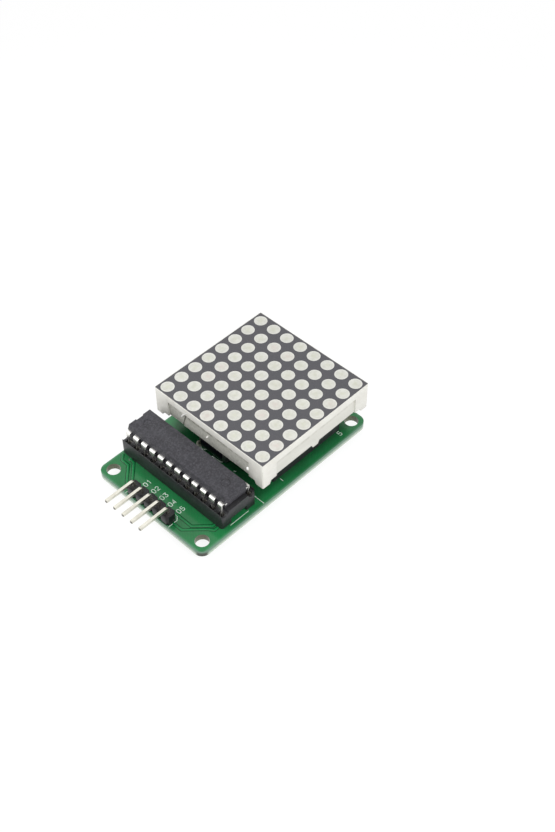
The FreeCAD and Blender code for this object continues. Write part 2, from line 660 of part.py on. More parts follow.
def make_socket_frame():
    """Ladder frame of the chip socket: troughed rails, raised end bars and a middle bar."""
    body = new_body("socket_frame", CHIP_X, "{chip_shift}", "{board_thick}")
    sketch = sketch_on(body, "XY_Plane")
    rectangle(sketch, "{socket_width}", SOCKET_LENGTH)
    block = pad(body, sketch, "{socket_height}")
    corners = edges_where(block, lambda edge: runs_along(edge, "z"))
    round_edges(body, block, corners, "{socket_corner}")
    opening = f"({SOCKET_LENGTH} / 2 - {{end_bar}} - {{middle_bar}} / 2)"
    between = "{socket_width} - 2 * {rail_width}"
    sketch = sketch_on(body, "XY_Plane", "0", f"-{{middle_bar}} / 2 - {opening} / 2")
    rectangle(sketch, between, opening)
    bay = pocket(body, sketch, "{socket_height}", up=True)
    repeat(body, [bay], ("Y", f"{opening} + {{middle_bar}}", 2))
    sketch = sketch_on(body, "XY_Plane")
    rectangle(sketch, between, SOCKET_LENGTH)
    pocket(body, sketch, "{bar_lift}", up=True)
    sketch = sketch_on(body, "XY_Plane", "0", f"{SOCKET_LENGTH} / 2", "{socket_height}")
    circle(sketch, "2 * {socket_notch}")
    pocket(body, sketch, "{socket_notch_depth}")
    for side in (-1, 1):
        sketch = sketch_on(body, "XZ_Plane", f"{side} * {{chip_rows}} / 2", "{socket_height}")
        circle(sketch, "2 * {socket_trough}")
        pocket(body, sketch, SOCKET_LENGTH, midplane=True)
    run = half_run("{pin_pitch}", "{chip_pins}")
    sketch = sketch_on(body, "XY_Plane", "-{chip_rows} / 2", f"-{run}")
    rectangle(sketch, "{window_side}", "{window_side}")
    hole = pocket(body, sketch, "{socket_height}", up=True)
    repeat(body, [hole], ("Y", "{pin_pitch}", "{chip_pins}"), ("X", "{chip_rows}", 2))


def make_socket_contacts(name, side):
    """One row of the chip socket's contacts: two spring leaves, a base and a solder tail."""
    run = half_run("{pin_pitch}", "{chip_pins}")
    body = new_body(name, f"{CHIP_X} + {side} * {{chip_rows}} / 2",
                    f"{{chip_shift}} - {side} * {run}", "{board_thick}",
                    turn=0.0 if side > 0 else 180.0, compound=True)
    grip = "{lead_thick} / 2 + {spring_gap}"
    foot = "{window_side} / 2 - 0.05"
    low = "{contact_lift}"
    bend = "{contact_lift} + 2 * {spring_thick}"
    pinch = "{socket_height} - 0.75 * {lead_plunge}"
    top = "{socket_height} - 1.2 * {socket_trough}"
    spring = "{spring_thick}"
    sketch = sketch_on(body, "XZ_Plane")
    right = [
        (foot, low), (foot, bend), (f"{grip} + {spring}", pinch), (foot, top),
        (f"{foot} - {spring}", top), (grip, pinch), (f"{foot} - {spring}", bend),
        (f"{foot} - {spring}", f"{low} + {spring}"),
    ]
    outline(sketch, right + [(f"-({x})", z) for x, z in reversed(right)])
    leaves = pad(body, sketch, "{contact_width}", midplane=True)
    sketch = sketch_on(body, "XY_Plane", z=low)
    rectangle(sketch, "{spring_thick}", "{tail_width}")
    tail = pad(body, sketch, "{contact_lift} + {board_thick} + {tail_below}", up=False)
    repeat(body, [leaves, tail], ("Y", "{pin_pitch}", "{chip_pins}"))


def make_header_strip():
    """Body of the pin header: joined eight-sided segments, each bored for a square pin."""
    start = half_run("{pin_pitch}", "{header_pins}")
    body = new_body("header_strip", HEADER_X, f"{{header_shift}} - {start}", "{board_thick}")
    half = "{pin_pitch} / 2"
    flat = "({pin_pitch} / 2 - {header_notch})"
    sketch = sketch_on(body, "XY_Plane")
    outline(sketch, [
        (f"-{half}", f"-{flat}"), (f"-{flat}", f"-{half}"), (flat, f"-{half}"),
        (half, f"-{flat}"), (half, flat), (flat, half), (f"-{flat}", half), (f"-{half}", flat),
    ])
    segment = pad(body, sketch, "{header_height}")
    sketch = sketch_on(body, "XY_Plane")
    rectangle(sketch, "{pin_side}", "{pin_side}")
    bore = pocket(body, sketch, "{header_height}", up=True)
    repeat(body, [segment, bore], ("Y", "{pin_pitch}", "{header_pins}"))


def make_header_pins():
    """Square header pins: up through the strip, then bent flat out over the board's edge."""
    reach = "{header_edge} + {pin_pitch} / 2 + {pin_overhang}"
    half = "{pin_side} / 2"
    axis = "{header_height} + {pin_rise}"
    for i in range(int(sheet.get("header_pins"))):
        place = f"{{header_shift}} + (({{header_pins}} - 1) / 2 - {i}) * {{pin_pitch}}"
        body = new_body(f"header_pin_{i + 1}", HEADER_X, place, "{board_thick}")
        sketch = sketch_on(body, "XZ_Plane")
        outline(sketch, [
            (half, "-{board_thick} - {tail_below}"), (half, f"{axis} + {half}"),
            (f"-({reach})", f"{axis} + {half}"), (f"-({reach})", f"{axis} - {half}"),
            (f"-{half}", f"{axis} - {half}"), (f"-{half}", "-{board_thick} - {tail_below}"),
        ])
        wire = pad(body, sketch, "{pin_side}", midplane=True)
        shape_header_pin(body, wire)


def shape_header_pin(body, wire):
    """Rounds the bend of a header pin and bevels its two ends."""
    doc.recompute()
    box = wire.Shape.BoundBox
    side = float(sheet.get("pin_side"))
    inner = edges_where(wire, lambda edge: runs_along(edge, "y")
                        and abs(edge.CenterOfMass.x - (box.XMax - side)) < 1e-4
                        and edge.CenterOfMass.z > box.ZMin + side)
    bend = round_edges(body, wire, inner, "{pin_bend}")
    outer = edges_where(bend, lambda edge: runs_along(edge, "y")
                        and abs(edge.CenterOfMass.x - box.XMax) < 1e-4
                        and edge.CenterOfMass.z > box.ZMin + side)
    bend = round_edges(body, bend, outer, "{pin_bend} + {pin_side}")
    tips = edges_where(bend, lambda edge: edge.BoundBox.XMax < box.XMin + 1e-4
                       or edge.BoundBox.ZMax < box.ZMin + 1e-4)
    bevel_edges(body, bend, tips, "{pin_chamfer}")


def make_wire(name, x, y, turn, points, radius):
    """A round bent lead: straight runs through the points, joined by bends of one radius."""
    corners = [FreeCAD.Vector(0, *point) for point in points]
    edges = []
    start = corners[0]
    for before, corner, after in zip(corners, corners[1:], corners[2:]):
        entry = corner + (before - corner).normalize() * radius
        leave = corner + (after - corner).normalize() * radius
        middle = corner + (entry + leave - corner * 2) * (1 - 0.5 ** 0.5)
        edges.append(Part.makeLine(start, entry))
        edges.append(Part.Arc(entry, middle, leave).toShape())
        start = leave
    edges.append(Part.makeLine(start, corners[-1]))
    path = Part.Wire(edges)
    direction = corners[1] - corners[0]
    section = Part.Wire(Part.makeCircle(number("lead_wire_dia") / 2, corners[0], direction))
    shape = path.makePipeShell([section], True, False, 2)
    lead = doc.addObject("Part::Feature", name)
    lead.Label = name
    lead.Shape = shape
    lead.Placement = FreeCAD.Placement(
        FreeCAD.Vector(x, y, number("board_thick")),
        FreeCAD.Rotation(FreeCAD.Vector(0, 0, 1), turn),
    )
    return lead


def make_can():
    """Smoothing capacitor lying on the board: can, sleeve, bung and two bent leads."""
    half = "{can_length} / 2"
    can = "({can_dia} / 2 - {sleeve_thick})"
    crimp = "({bung_depth} + 0.5)"
    body = new_body("capacitor_can", CAN_X, "{can_shift}", "{board_thick}")
    sketch = sketch_on(body, "XY_Plane", z="{can_dia} / 2")
    outline(sketch, [
        ("0", f"-{half}"), (f"{can} - 0.3", f"-{half}"), (can, f"-{half} + 0.3"),
        (can, f"{half} - {crimp} - 0.5"), (f"{can} - {{crimp_depth}}", f"{half} - {crimp} - 0.2"),
        (f"{can} - {{crimp_depth}}", f"{half} - {crimp} + 0.2"), (can, f"{half} - {crimp} + 0.5"),
        (can, f"{half} - 0.1"), (f"{can} - 0.1", half), ("{bung_dia} / 2", half),
        ("{bung_dia} / 2", f"{half} - {{bung_depth}}"), ("0", f"{half} - {{bung_depth}}"),
    ])
    revolve(body, sketch, "V_Axis")

    sleeve = new_body("capacitor_sleeve", CAN_X, "{can_shift}", "{board_thick}")
    sketch = sketch_on(sleeve, "XY_Plane", z="{can_dia} / 2")
    outline(sketch, [
        (can, f"-{half} + 0.4"), ("{can_dia} / 2", f"-{half} + 0.4"),
        ("{can_dia} / 2", f"{half} - 0.2"), (can, f"{half} - 0.2"),
        (can, f"{half} - {crimp} + 0.5"), (can, f"{half} - {crimp} - 0.5"),
    ])
    revolve(sleeve, sketch, "V_Axis")

    bung = new_body("capacitor_bung", CAN_X, "{can_shift}", "{board_thick}")
    sketch = sketch_on(bung, "XZ_Plane", "0", "{can_dia} / 2", f"-{half}")
    circle(sketch, "{bung_dia}")
    pad(bung, sketch, "{bung_depth}")

    below = -number("board_thick") - number("tail_below")
    height = number("can_dia") / 2
    run = number("can_lead_run")
    for i, side in enumerate((-1, 1), start=1):
        make_wire(
            f"capacitor_lead_{i}", place_of(f"{CAN_X} + {side} * {{can_lead_spacing}} / 2"),
            place_of("{can_shift} + {can_length} / 2"), 0.0,
            [(0, height), (run, height), (run, below)], number("lead_wire_dia"),
        )


def make_resistor():
    """Resistor lying on the board: a waisted body with an end cap at each end."""
    half = "{resistor_length} / 2"
    cap = "{resistor_dia} / 2"
    waist = "{resistor_waist} / 2"
    body = new_body("resistor_body", RESISTOR_X, "0", "{board_thick}")
    sketch = sketch_on(body, "XY_Plane", z=cap)
    outline(sketch, [
        ("0", f"-{half}"), (f"{cap} - 0.35", f"-{half}"), (cap, f"-{half} + 0.35"),
        (cap, f"-{half} + {{resistor_cap}} - 0.2"), (waist, f"-{half} + {{resistor_cap}} + 0.2"),
        (waist, f"{half} - {{resistor_cap}} - 0.2"), (cap, f"{half} - {{resistor_cap}} + 0.2"),
        (cap, f"{half} - 0.35"), (f"{cap} - 0.35", half), ("0", half),
    ])
    revolve(body, sketch, "V_Axis")
    below = -number("board_thick") - number("tail_below")
    height = number("resistor_dia") / 2
    run = (number("resistor_span") - number("resistor_length")) / 2
    for i, side in enumerate((-1, 1), start=1):
        make_wire(
            f"resistor_lead_{i}", place_of(RESISTOR_X), side * number("resistor_length") / 2,
            0.0 if side > 0 else 180.0,
            [(0, height), (run, height), (run, below)], number("lead_wire_dia"),
        )


def make_disc():
    """Ceramic capacitor: a dipped disc standing on two straight leads."""
    centre = "{disc_lift} + {disc_dia} / 2"
    radius = "{disc_dia} / 2"
    half = "{disc_thick} / 2"
    body = new_body("ceramic_capacitor", DISC_X, "0", "{board_thick}")
    sketch = sketch_on(body, "XY_Plane", z=centre)
    outline(sketch, [
        (f"-{half}", "0"), (half, "0"), (half, f"{radius} - {half}"), (f"{half} / 2", radius),
        (f"-{half} / 2", radius), (f"-{half}", f"{radius} - {half}"),
    ])
    revolve(body, sketch, "H_Axis")
    sketch = sketch_on(body, "XY_Plane", "0", "-{pin_pitch} / 2", "{disc_lift}")
    circle(sketch, "{lead_wire_dia}")
    hole = pocket(body, sketch, "{disc_embed}", up=True)
    repeat(body, [hole], ("Y", "{pin_pitch}", 2))
    leads = new_body("ceramic_capacitor_leads", DISC_X, "-{pin_pitch} / 2", "{board_thick}",
                     compound=True)
    sketch = sketch_on(leads, "XY_Plane", z="-{board_thick} - {tail_below}")
    circle(sketch, "{lead_wire_dia}")
    wire = pad(leads, sketch, "{board_thick} + {tail_below} + {disc_lift} + {disc_embed}")
    repeat(leads, [wire], ("Y", "{pin_pitch}", 2))


def make_solder(name, x, y, wide, deep, first, second=None, square=True):
    """Solder joints under the board, each a cone round its pin or lead."""
    shift_x, shift_y = x, y
    for axis, spacing, count in [run for run in (first, second) if run]:
        if axis == "X":
            shift_x = f"{shift_x} - {half_run(spacing, count)}"
        else:
            shift_y = f"{shift_y} - {half_run(spacing, count)}"
    body = new_body(name, shift_x, shift_y, "0", compound=True)
    joint = cone(body, "Additive", "{solder_top_dia}", "{solder_foot_dia}", "{solder_height}",
                 "-{solder_height}")
    sketch = sketch_on(body, "XY_Plane")
    if square:
        rectangle(sketch, wide, deep)
    else:
        circle(sketch, wide)
    bore = pocket(body, sketch, "{solder_height}")
    repeat(body, [joint, bore], first, second)


def make_all_solder():
    """The solder joints, one group for each part that they hold."""
    make_solder("solder_header", HEADER_X, "{header_shift}", "{pin_side}", "{pin_side}",
                ("Y", "{pin_pitch}", "{header_pins}"))
    make_solder("solder_chip_socket", CHIP_X, "{chip_shift}", "{spring_thick}", "{tail_width}",
                ("Y", "{pin_pitch}", "{chip_pins}"), ("X", "{chip_rows}", 2))
    make_solder("solder_socket_strips", MATRIX_X, "0", "{tail_width}", "{spring_thick}",
                ("X", "{pin_pitch}", "{pins_per_row}"), ("Y", "{row_spacing}", 2))
    make_solder("solder_smoothing_capacitor", CAN_X, CAN_LEAD_Y, "{lead_wire_dia}", "",
                ("X", "{can_lead_spacing}", 2), square=False)
    make_solder("solder_resistor", RESISTOR_X, "0", "{lead_wire_dia}", "",
                ("Y", "{resistor_span}", 2), square=False)
    make_solder("solder_ceramic_capacitor", DISC_X, "0", "{lead_wire_dia}", "",
                ("Y", "{pin_pitch}", 2), square=False)


def finished_parts():
    """Every object that is a sub-part: the bodies, bent leads and the potting."""
    kinds = ("PartDesign::Body", "Part::Feature", "Part::Cut")
    return [item for item in doc.Objects if item.TypeId in kinds and item.Label != "potting_form"]


def check(parts):
    """Stops where an object failed or a sub-part's shape is missing or not valid."""
    faults = []
    for item in doc.Objects:
        if any(word in item.State for word in ("Invalid", "Error")):
            owner = item.getParentGeoFeatureGroup()
            faults.append(f"{owner.Label if owner else ''}/{item.Name} {item.State}")
    for item in parts:
        if item.Shape.isNull() or not item.Shape.isValid() or not item.Shape.Solids:
            faults.append(f"{item.Label} has no valid solid")
    if faults:
        raise RuntimeError("; ".join(faults))


make_board()
make_matrix_case()
matrix_pins = make_matrix_pins()
make_potting(make_substrate(), matrix_pins)
for side_name, side_sign in (("right", -1), ("left", 1)):
    make_socket_strip(f"socket_strip_{side_name}", side_sign)
    make_strip_contacts(f"strip_contacts_{side_name}", side_sign)
make_socket_frame()
make_chip()
for side_name, side_sign in (("near", -1), ("far", 1)):
    make_socket_contacts(f"socket_contacts_{side_name}", side_sign)
    make_chip_leads(f"chip_leads_{side_name}", side_sign)
make_header_strip()
make_header_pins()
make_can()
make_resistor()
make_disc()
make_all_solder()

doc.recompute()
sub_parts = finished_parts()
check(sub_parts)
os.makedirs("parts", exist_ok=True)
for sub_part in sub_parts:
    sub_part.Shape.exportStep(f"parts/{sub_part.Label}.step")
    volume = sub_part.Shape.Volume
    print(f"{sub_part.Label}: {len(sub_part.Shape.Solids)} solids, {volume:.3f} mm3")
print(f"{len(sub_parts)} sub-parts")
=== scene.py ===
"""Looks of an LED dot matrix display module: finishes for its solids, and the thin printed,
plated and moulded details that lie on them. All lengths in the classes are millimetres."""

import logging
import math
from collections.abc import Iterator
from contextlib import contextmanager
from dataclasses import dataclass
from enum import Enum
from functools import cached_property, reduce

import bmesh
import bpy
import numpy as np
from mathutils import Matrix, Vector


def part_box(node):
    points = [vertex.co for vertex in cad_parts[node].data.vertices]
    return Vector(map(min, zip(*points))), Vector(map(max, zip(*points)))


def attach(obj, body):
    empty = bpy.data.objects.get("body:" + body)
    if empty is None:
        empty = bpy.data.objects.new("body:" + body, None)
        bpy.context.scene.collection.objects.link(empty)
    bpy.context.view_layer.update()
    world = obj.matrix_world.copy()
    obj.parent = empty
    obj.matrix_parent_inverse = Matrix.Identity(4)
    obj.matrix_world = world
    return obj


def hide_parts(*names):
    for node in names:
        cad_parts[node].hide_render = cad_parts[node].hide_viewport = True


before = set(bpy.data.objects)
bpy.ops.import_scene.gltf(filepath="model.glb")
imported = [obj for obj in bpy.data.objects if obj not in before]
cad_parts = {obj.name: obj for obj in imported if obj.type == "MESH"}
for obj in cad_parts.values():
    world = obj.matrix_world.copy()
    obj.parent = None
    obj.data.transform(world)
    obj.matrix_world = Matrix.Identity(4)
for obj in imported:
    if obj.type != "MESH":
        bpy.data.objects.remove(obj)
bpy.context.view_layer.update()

MM = 0.001
WHITE = (1.0, 1.0, 1.0, 1.0)
LOG = logging.getLogger("dot_matrix_module")

Pair = tuple[float, float]
Colour = tuple[float, float, float]
Way = tuple[float, float, float]
Points = np.ndarray
Socket = bpy.types.NodeSocket


def tint(shade: Colour) -> tuple[float, float, float, float]:
    """Turns a displayed colour of 0 to 255 into the linear colour that a shader takes.

    Args:
        shade: Red, green and blue as they are seen on a screen.

    Returns:
        The linear red, green and blue, and an alpha of one.
    """
    part = np.array(shade) / 255.0
    linear = np.where(part <= 0.04045, part / 12.92, ((part + 0.055) / 1.055) ** 2.4)
    return (float(linear[0]), float(linear[1]), float(linear[2]), 1.0)


# Shader graphs


class Graph:
    """Adds nodes to one shader tree and joins their sockets."""

    def __init__(self, tree: bpy.types.NodeTree) -> None:
        """Keeps the tree that the nodes go into, and the place that its patterns follow."""
        self.tree = tree
        self.where: Socket | None = None

    def feed(self, socket: Socket, value: object) -> None:
        """Joins a socket to another one, or sets its plain value.

        Args:
            socket: The socket that takes it.
            value: A socket or a plain value.
        """
        if isinstance(value, bpy.types.NodeSocket):
            self.tree.links.new(value, socket)
        else:
            socket.default_value = value

    def node(self, kind: str, inputs: dict | None = None, **settings: object) -> bpy.types.Node:
        """Adds one node.

        Args:
            kind: The node's type in Blender.
            inputs: Values or sockets by input name or number.
            settings: The node's own options.

        Returns:
            The new node.
        """
        made = self.tree.nodes.new(kind)
        for key, value in settings.items():
            setattr(made, key, value)
        for key, value in (inputs or {}).items():
            self.feed(made.inputs[key], value)
        return made

    def math(self, operation: str, *values: object) -> Socket:
        """Result of one arithmetic step on sockets or numbers."""
        return self.node("ShaderNodeMath", dict(enumerate(values)), operation=operation).outputs[0]

    def times(self, *factors: object) -> Socket:
        """Product of two or more sockets or numbers."""
        return reduce(lambda left, right: self.math("MULTIPLY", left, right), factors)

    def plus(self, first: object, second: object) -> Socket:
        """Sum of two sockets or numbers."""
        return self.math("ADD", first, second)

    def minus(self, first: object, second: object) -> Socket:
        """The first socket or number less the second."""
        return self.math("SUBTRACT", first, second)

    def off(self, value: object, middle: object) -> Socket:
        """How far a value lies from a middle one, on either side."""
        return self.math("ABSOLUTE", self.minus(value, middle))

    def remap(self, value: object, low: float, high: float, start: float = 0.0,
              end: float = 1.0) -> Socket:
        """Smooth step from start to end, while the value goes from low to high.

        Args:
            value: A socket or a number.
            low: Value at which the step starts; it may be above high.
            high: Value at which it ends.
            start: Result up to low.
            end: Result from high on.

        Returns:
            The result.
        """
        inputs = {"Value": value, "From Min": low, "From Max": high, "To Min": start,
                  "To Max": end}
        made = self.node("ShaderNodeMapRange", inputs, interpolation_type="SMOOTHSTEP")
        return made.outputs["Result"]

    def reach(self, place: tuple[Socket, Socket], middle: Pair) -> Socket:
        """Distance between two places: root of the sum of the squared offsets in x and y."""
        square = [self.math("POWER", self.minus(part, other), 2.0)
                  for part, other in zip(place, middle)]
        return self.math("SQRT", self.plus(*square))

    def near(self, place: tuple[Socket, Socket], middle: Pair, inner: float,
             outer: float) -> Socket:
        """1 within inner of an upright line and 0 beyond outer, by the distance from it."""
        return self.remap(self.reach(place, middle), outer, inner)

    def blend(self, share: object, first: Socket | Colour, second: Socket | Colour) -> Socket:
        """Colour that goes from the first to the second as share goes from 0 to 1.

        Args:
            share: A socket or a number.
            first: A socket, or a colour as seen.
            second: The same.

        Returns:
            The mixed colour.
        """
        ends = [tint(end) if isinstance(end, tuple) else end for end in (first, second)]
        made = self.node("ShaderNodeMix", {0: share, 6: ends[0], 7: ends[1]}, data_type="RGBA")
        return made.outputs[2]

    def noise(self, size: object, detail: float, where: Socket | None = None) -> Socket:
        """Soft noise from 0 to 1, with size spots to the metre."""
        inputs = {"Vector": where or self.where, "Scale": size, "Detail": detail}
        return self.node("ShaderNodeTexNoise", inputs).outputs[0]

    def group(self, effect: "Effect", **inputs: object) -> bpy.types.Node:
        """Places one shared effect with its own values.

        Args:
            effect: Which effect.
            inputs: Its inputs, each a socket or a plain value.

        Returns:
            The group's node.
        """
        made = self.node("ShaderNodeGroup", node_tree=effect.tree())
        for key, value in {"Where": self.where, **inputs}.items():
            self.feed(made.inputs[key], value)
        return made

    @cached_property
    def place(self) -> list[Socket]:
        """The x, y and z of the place on the piece, in millimetres."""
        parts = self.node("ShaderNodeSeparateXYZ", {0: self.where}).outputs
        return [self.times(part, 1.0 / MM) for part in parts]


class Effect(Enum):
    """Surface effects that several finishes share, each one a shader node group."""

    TONE = "uneven_tone"
    GRAIN = "moulded_grain"
    DUST = "settled_dust"
    SCUFF = "handling_scuffs"

    def tree(self) -> bpy.types.NodeTree:
        """The effect's node group, made the first time that it is asked for."""
        known = bpy.data.node_groups.get(self.value)
        return known if known else EffectShop().make(self)


class EffectShop:
    """Builds the shared node groups."""

    def make(self, effect: Effect) -> bpy.types.NodeTree:
        """Builds one effect's group.

        Args:
            effect: Which effect.

        Returns:
            The finished group.
        """
        tree = bpy.data.node_groups.new(effect.value, "ShaderNodeTree")
        tree.interface.new_socket("Where", in_out="INPUT", socket_type="NodeSocketVector")
        builders = {Effect.TONE: self.tone, Effect.GRAIN: self.grain, Effect.DUST: self.dust,
                    Effect.SCUFF: self.scuff}
        builders[effect](tree)
        return tree

    @staticmethod
    def sockets(tree: bpy.types.NodeTree, colours: tuple, numbers: tuple,
                results: dict[str, str]) -> tuple[Graph, dict, bpy.types.Node]:
        """Names a group's sockets and adds its two end nodes.

        Args:
            tree: The group.
            colours: Names of its colour inputs.
            numbers: Names of its number inputs.
            results: Its outputs, each name with "Color" or "Float".

        Returns:
            A graph on the group, its inputs by name, and the node that takes its outputs.
        """
        for name in colours:
            tree.interface.new_socket(name, in_out="INPUT", socket_type="NodeSocketColor")
        for name in numbers:
            tree.interface.new_socket(name, in_out="INPUT", socket_type="NodeSocketFloat")
        for name, kind in results.items():
            tree.interface.new_socket(name, in_out="OUTPUT", socket_type=f"NodeSocket{kind}")
        graph = Graph(tree)
        given = dict(graph.node("NodeGroupInput").outputs.items())
        graph.where = given["Where"]
        return graph, given, graph.node("NodeGroupOutput")

    def tone(self, tree: bpy.types.NodeTree) -> None:
        """Two colours in soft clouds: share = smooth step of noise about its middle.

        Args:
            tree: The group.
        """
        graph, given, end = self.sockets(tree, ("Main", "Second"), ("Size",), {"Colour": "Color"})
        cloud = graph.noise(given["Size"], 3.0)
        fine = graph.noise(graph.times(given["Size"], 9.0), 2.0)
        both = graph.plus(graph.times(cloud, 0.75), graph.times(fine, 0.25))
        share = graph.remap(both, 0.34, 0.68)
        graph.feed(end.inputs["Colour"], graph.blend(share, given["Main"], given["Second"]))

    def grain(self, tree: bpy.types.NodeTree) -> None:
        """Fine pitted skin: height = cell distance plus noise, roughness follows it.

        Args:
            tree: The group.
        """
        graph, given, end = self.sockets(tree, (), ("Size", "Rough", "Spread"),
                                         {"Height": "Float", "Roughness": "Float"})
        inputs = {"Vector": graph.where, "Scale": given["Size"]}
        pits = graph.node("ShaderNodeTexVoronoi", inputs).outputs["Distance"]
        mist = graph.noise(graph.times(given["Size"], 0.45), 3.0)
        swing = graph.times(graph.minus(mist, 0.5), given["Spread"])
        graph.feed(end.inputs["Height"], graph.plus(graph.times(pits, 0.5), mist))
        graph.feed(end.inputs["Roughness"], graph.plus(given["Rough"], swing))

    def dust(self, tree: bpy.types.NodeTree) -> None:
        """Pale dust on faces that look up: mask = smooth step of normal z, times noise.

        Args:
            tree: The group.
        """
        graph, given, end = self.sockets(tree, ("Clean", "Dust"), ("Amount",),
                                         {"Colour": "Color"})
        normal = graph.node("ShaderNodeNewGeometry").outputs["Normal"]
        level = graph.node("ShaderNodeSeparateXYZ", {0: normal}).outputs[2]
        specks = graph.remap(graph.noise(5200.0, 4.0), 0.56, 0.74)
        film = graph.remap(graph.noise(420.0, 3.0), 0.3, 0.8, 0.15, 0.55)
        facing = graph.remap(level, 0.25, 0.95)
        share = graph.times(facing, graph.plus(specks, film), given["Amount"])
        graph.feed(end.inputs["Colour"], graph.blend(share, given["Clean"], given["Dust"]))

    def scuff(self, tree: bpy.types.NodeTree) -> None:
        """Thin rubbed streaks: noise of a place squeezed along one axis, kept near its peaks.

        Args:
            tree: The group.
        """
        graph, given, end = self.sockets(tree, (), ("Size", "Amount"), {"Mask": "Float"})
        squeeze = {"Vector": graph.where, "Rotation": (0.3, 0.2, 0.7),
                   "Scale": (1.0, 0.08, 0.6)}
        along = graph.node("ShaderNodeMapping", squeeze).outputs[0]
        streak = graph.remap(graph.noise(given["Size"], 4.0, along), 0.58, 0.72)
        graph.feed(end.inputs["Mask"], graph.times(streak, given["Amount"]))


# Finishes

# The dust's colour as seen, scuffs to the metre, and roughness of a clear coat.
DUST_SHADE: Colour = (205, 203, 198)
SCUFF_SIZE = 1500.0
COAT_ROUGH = 0.12


@dataclass(frozen=True)
class Finish:
    """One surface finish.

    Args:
        name: What the finish is called.
        main: Its main colour as seen.
        second: The colour that it clouds towards.
        rough: Middle roughness.
        metal: 1 for bare metal.
        cloud: Clouds to the metre.
        grain: Pits to the metre.
        depth: Depth of the grain in millimetres.
        spread: How far the roughness swings.
        dust: How much dust lies on it.
        scuff: How strongly handling shows.
        coat: Weight of a clear coat.
        shine: How strongly its surface mirrors, 0.5 for a plain plastic.
    """

    name: str
    main: Colour
    second: Colour
    rough: float = 0.5
    metal: float = 0.0
    cloud: float = 180.0
    grain: float = 9000.0
    depth: float = 0.004
    spread: float = 0.2
    dust: float = 0.1
    scuff: float = 0.1
    coat: float = 0.0
    shine: float = 0.5

    def paint(self, graph: Graph, colour: Socket) -> Socket:
        """Adds the finish's own pattern to its clouded colour. The plain finish adds none."""
        return colour

    def relief(self, graph: Graph, height: Socket) -> Socket:
        """Adds the finish's own relief to its grain. The plain finish adds none."""
        return height

    def material(self) -> bpy.types.Material:
        """The finish as a Blender material, made once.

        Returns:
            The material.
        """
        known = bpy.data.materials.get(self.name)
        if known:
            return known
        made = bpy.data.materials.new(self.name)
        made.use_nodes = True
        graph = Graph(made.node_tree)
        shader = made.node_tree.nodes["Principled BSDF"]
        graph.where = graph.node("ShaderNodeTexCoord").outputs["Object"]
        tone = graph.group(Effect.TONE, Main=tint(self.main), Second=tint(self.second),
                           Size=self.cloud)
        painted = self.paint(graph, tone.outputs["Colour"])
        dusty = graph.group(Effect.DUST, Clean=painted, Dust=tint(DUST_SHADE), Amount=self.dust)
        skin = graph.group(Effect.GRAIN, Size=self.grain, Rough=self.rough, Spread=self.spread)
        worn = graph.group(Effect.SCUFF, Size=SCUFF_SIZE, Amount=self.scuff)
        rough = graph.plus(skin.outputs["Roughness"], worn.outputs["Mask"])
        height = self.relief(graph, skin.outputs["Height"])
        bump = graph.node("ShaderNodeBump", {"Height": height, "Distance": self.depth * MM,
                                             "Strength": 1.0})
        graph.feed(shader.inputs["Base Color"], dusty.outputs["Colour"])
        graph.feed(shader.inputs["Roughness"], rough)
        graph.feed(shader.inputs["Normal"], bump.outputs["Normal"])
        shader.inputs["Metallic"].default_value = self.metal
        shader.inputs["Coat Weight"].default_value = self.coat
        shader.inputs["Coat Roughness"].default_value = COAT_ROUGH
        shader.inputs["Specular IOR Level"].default_value = self.shine
        return made


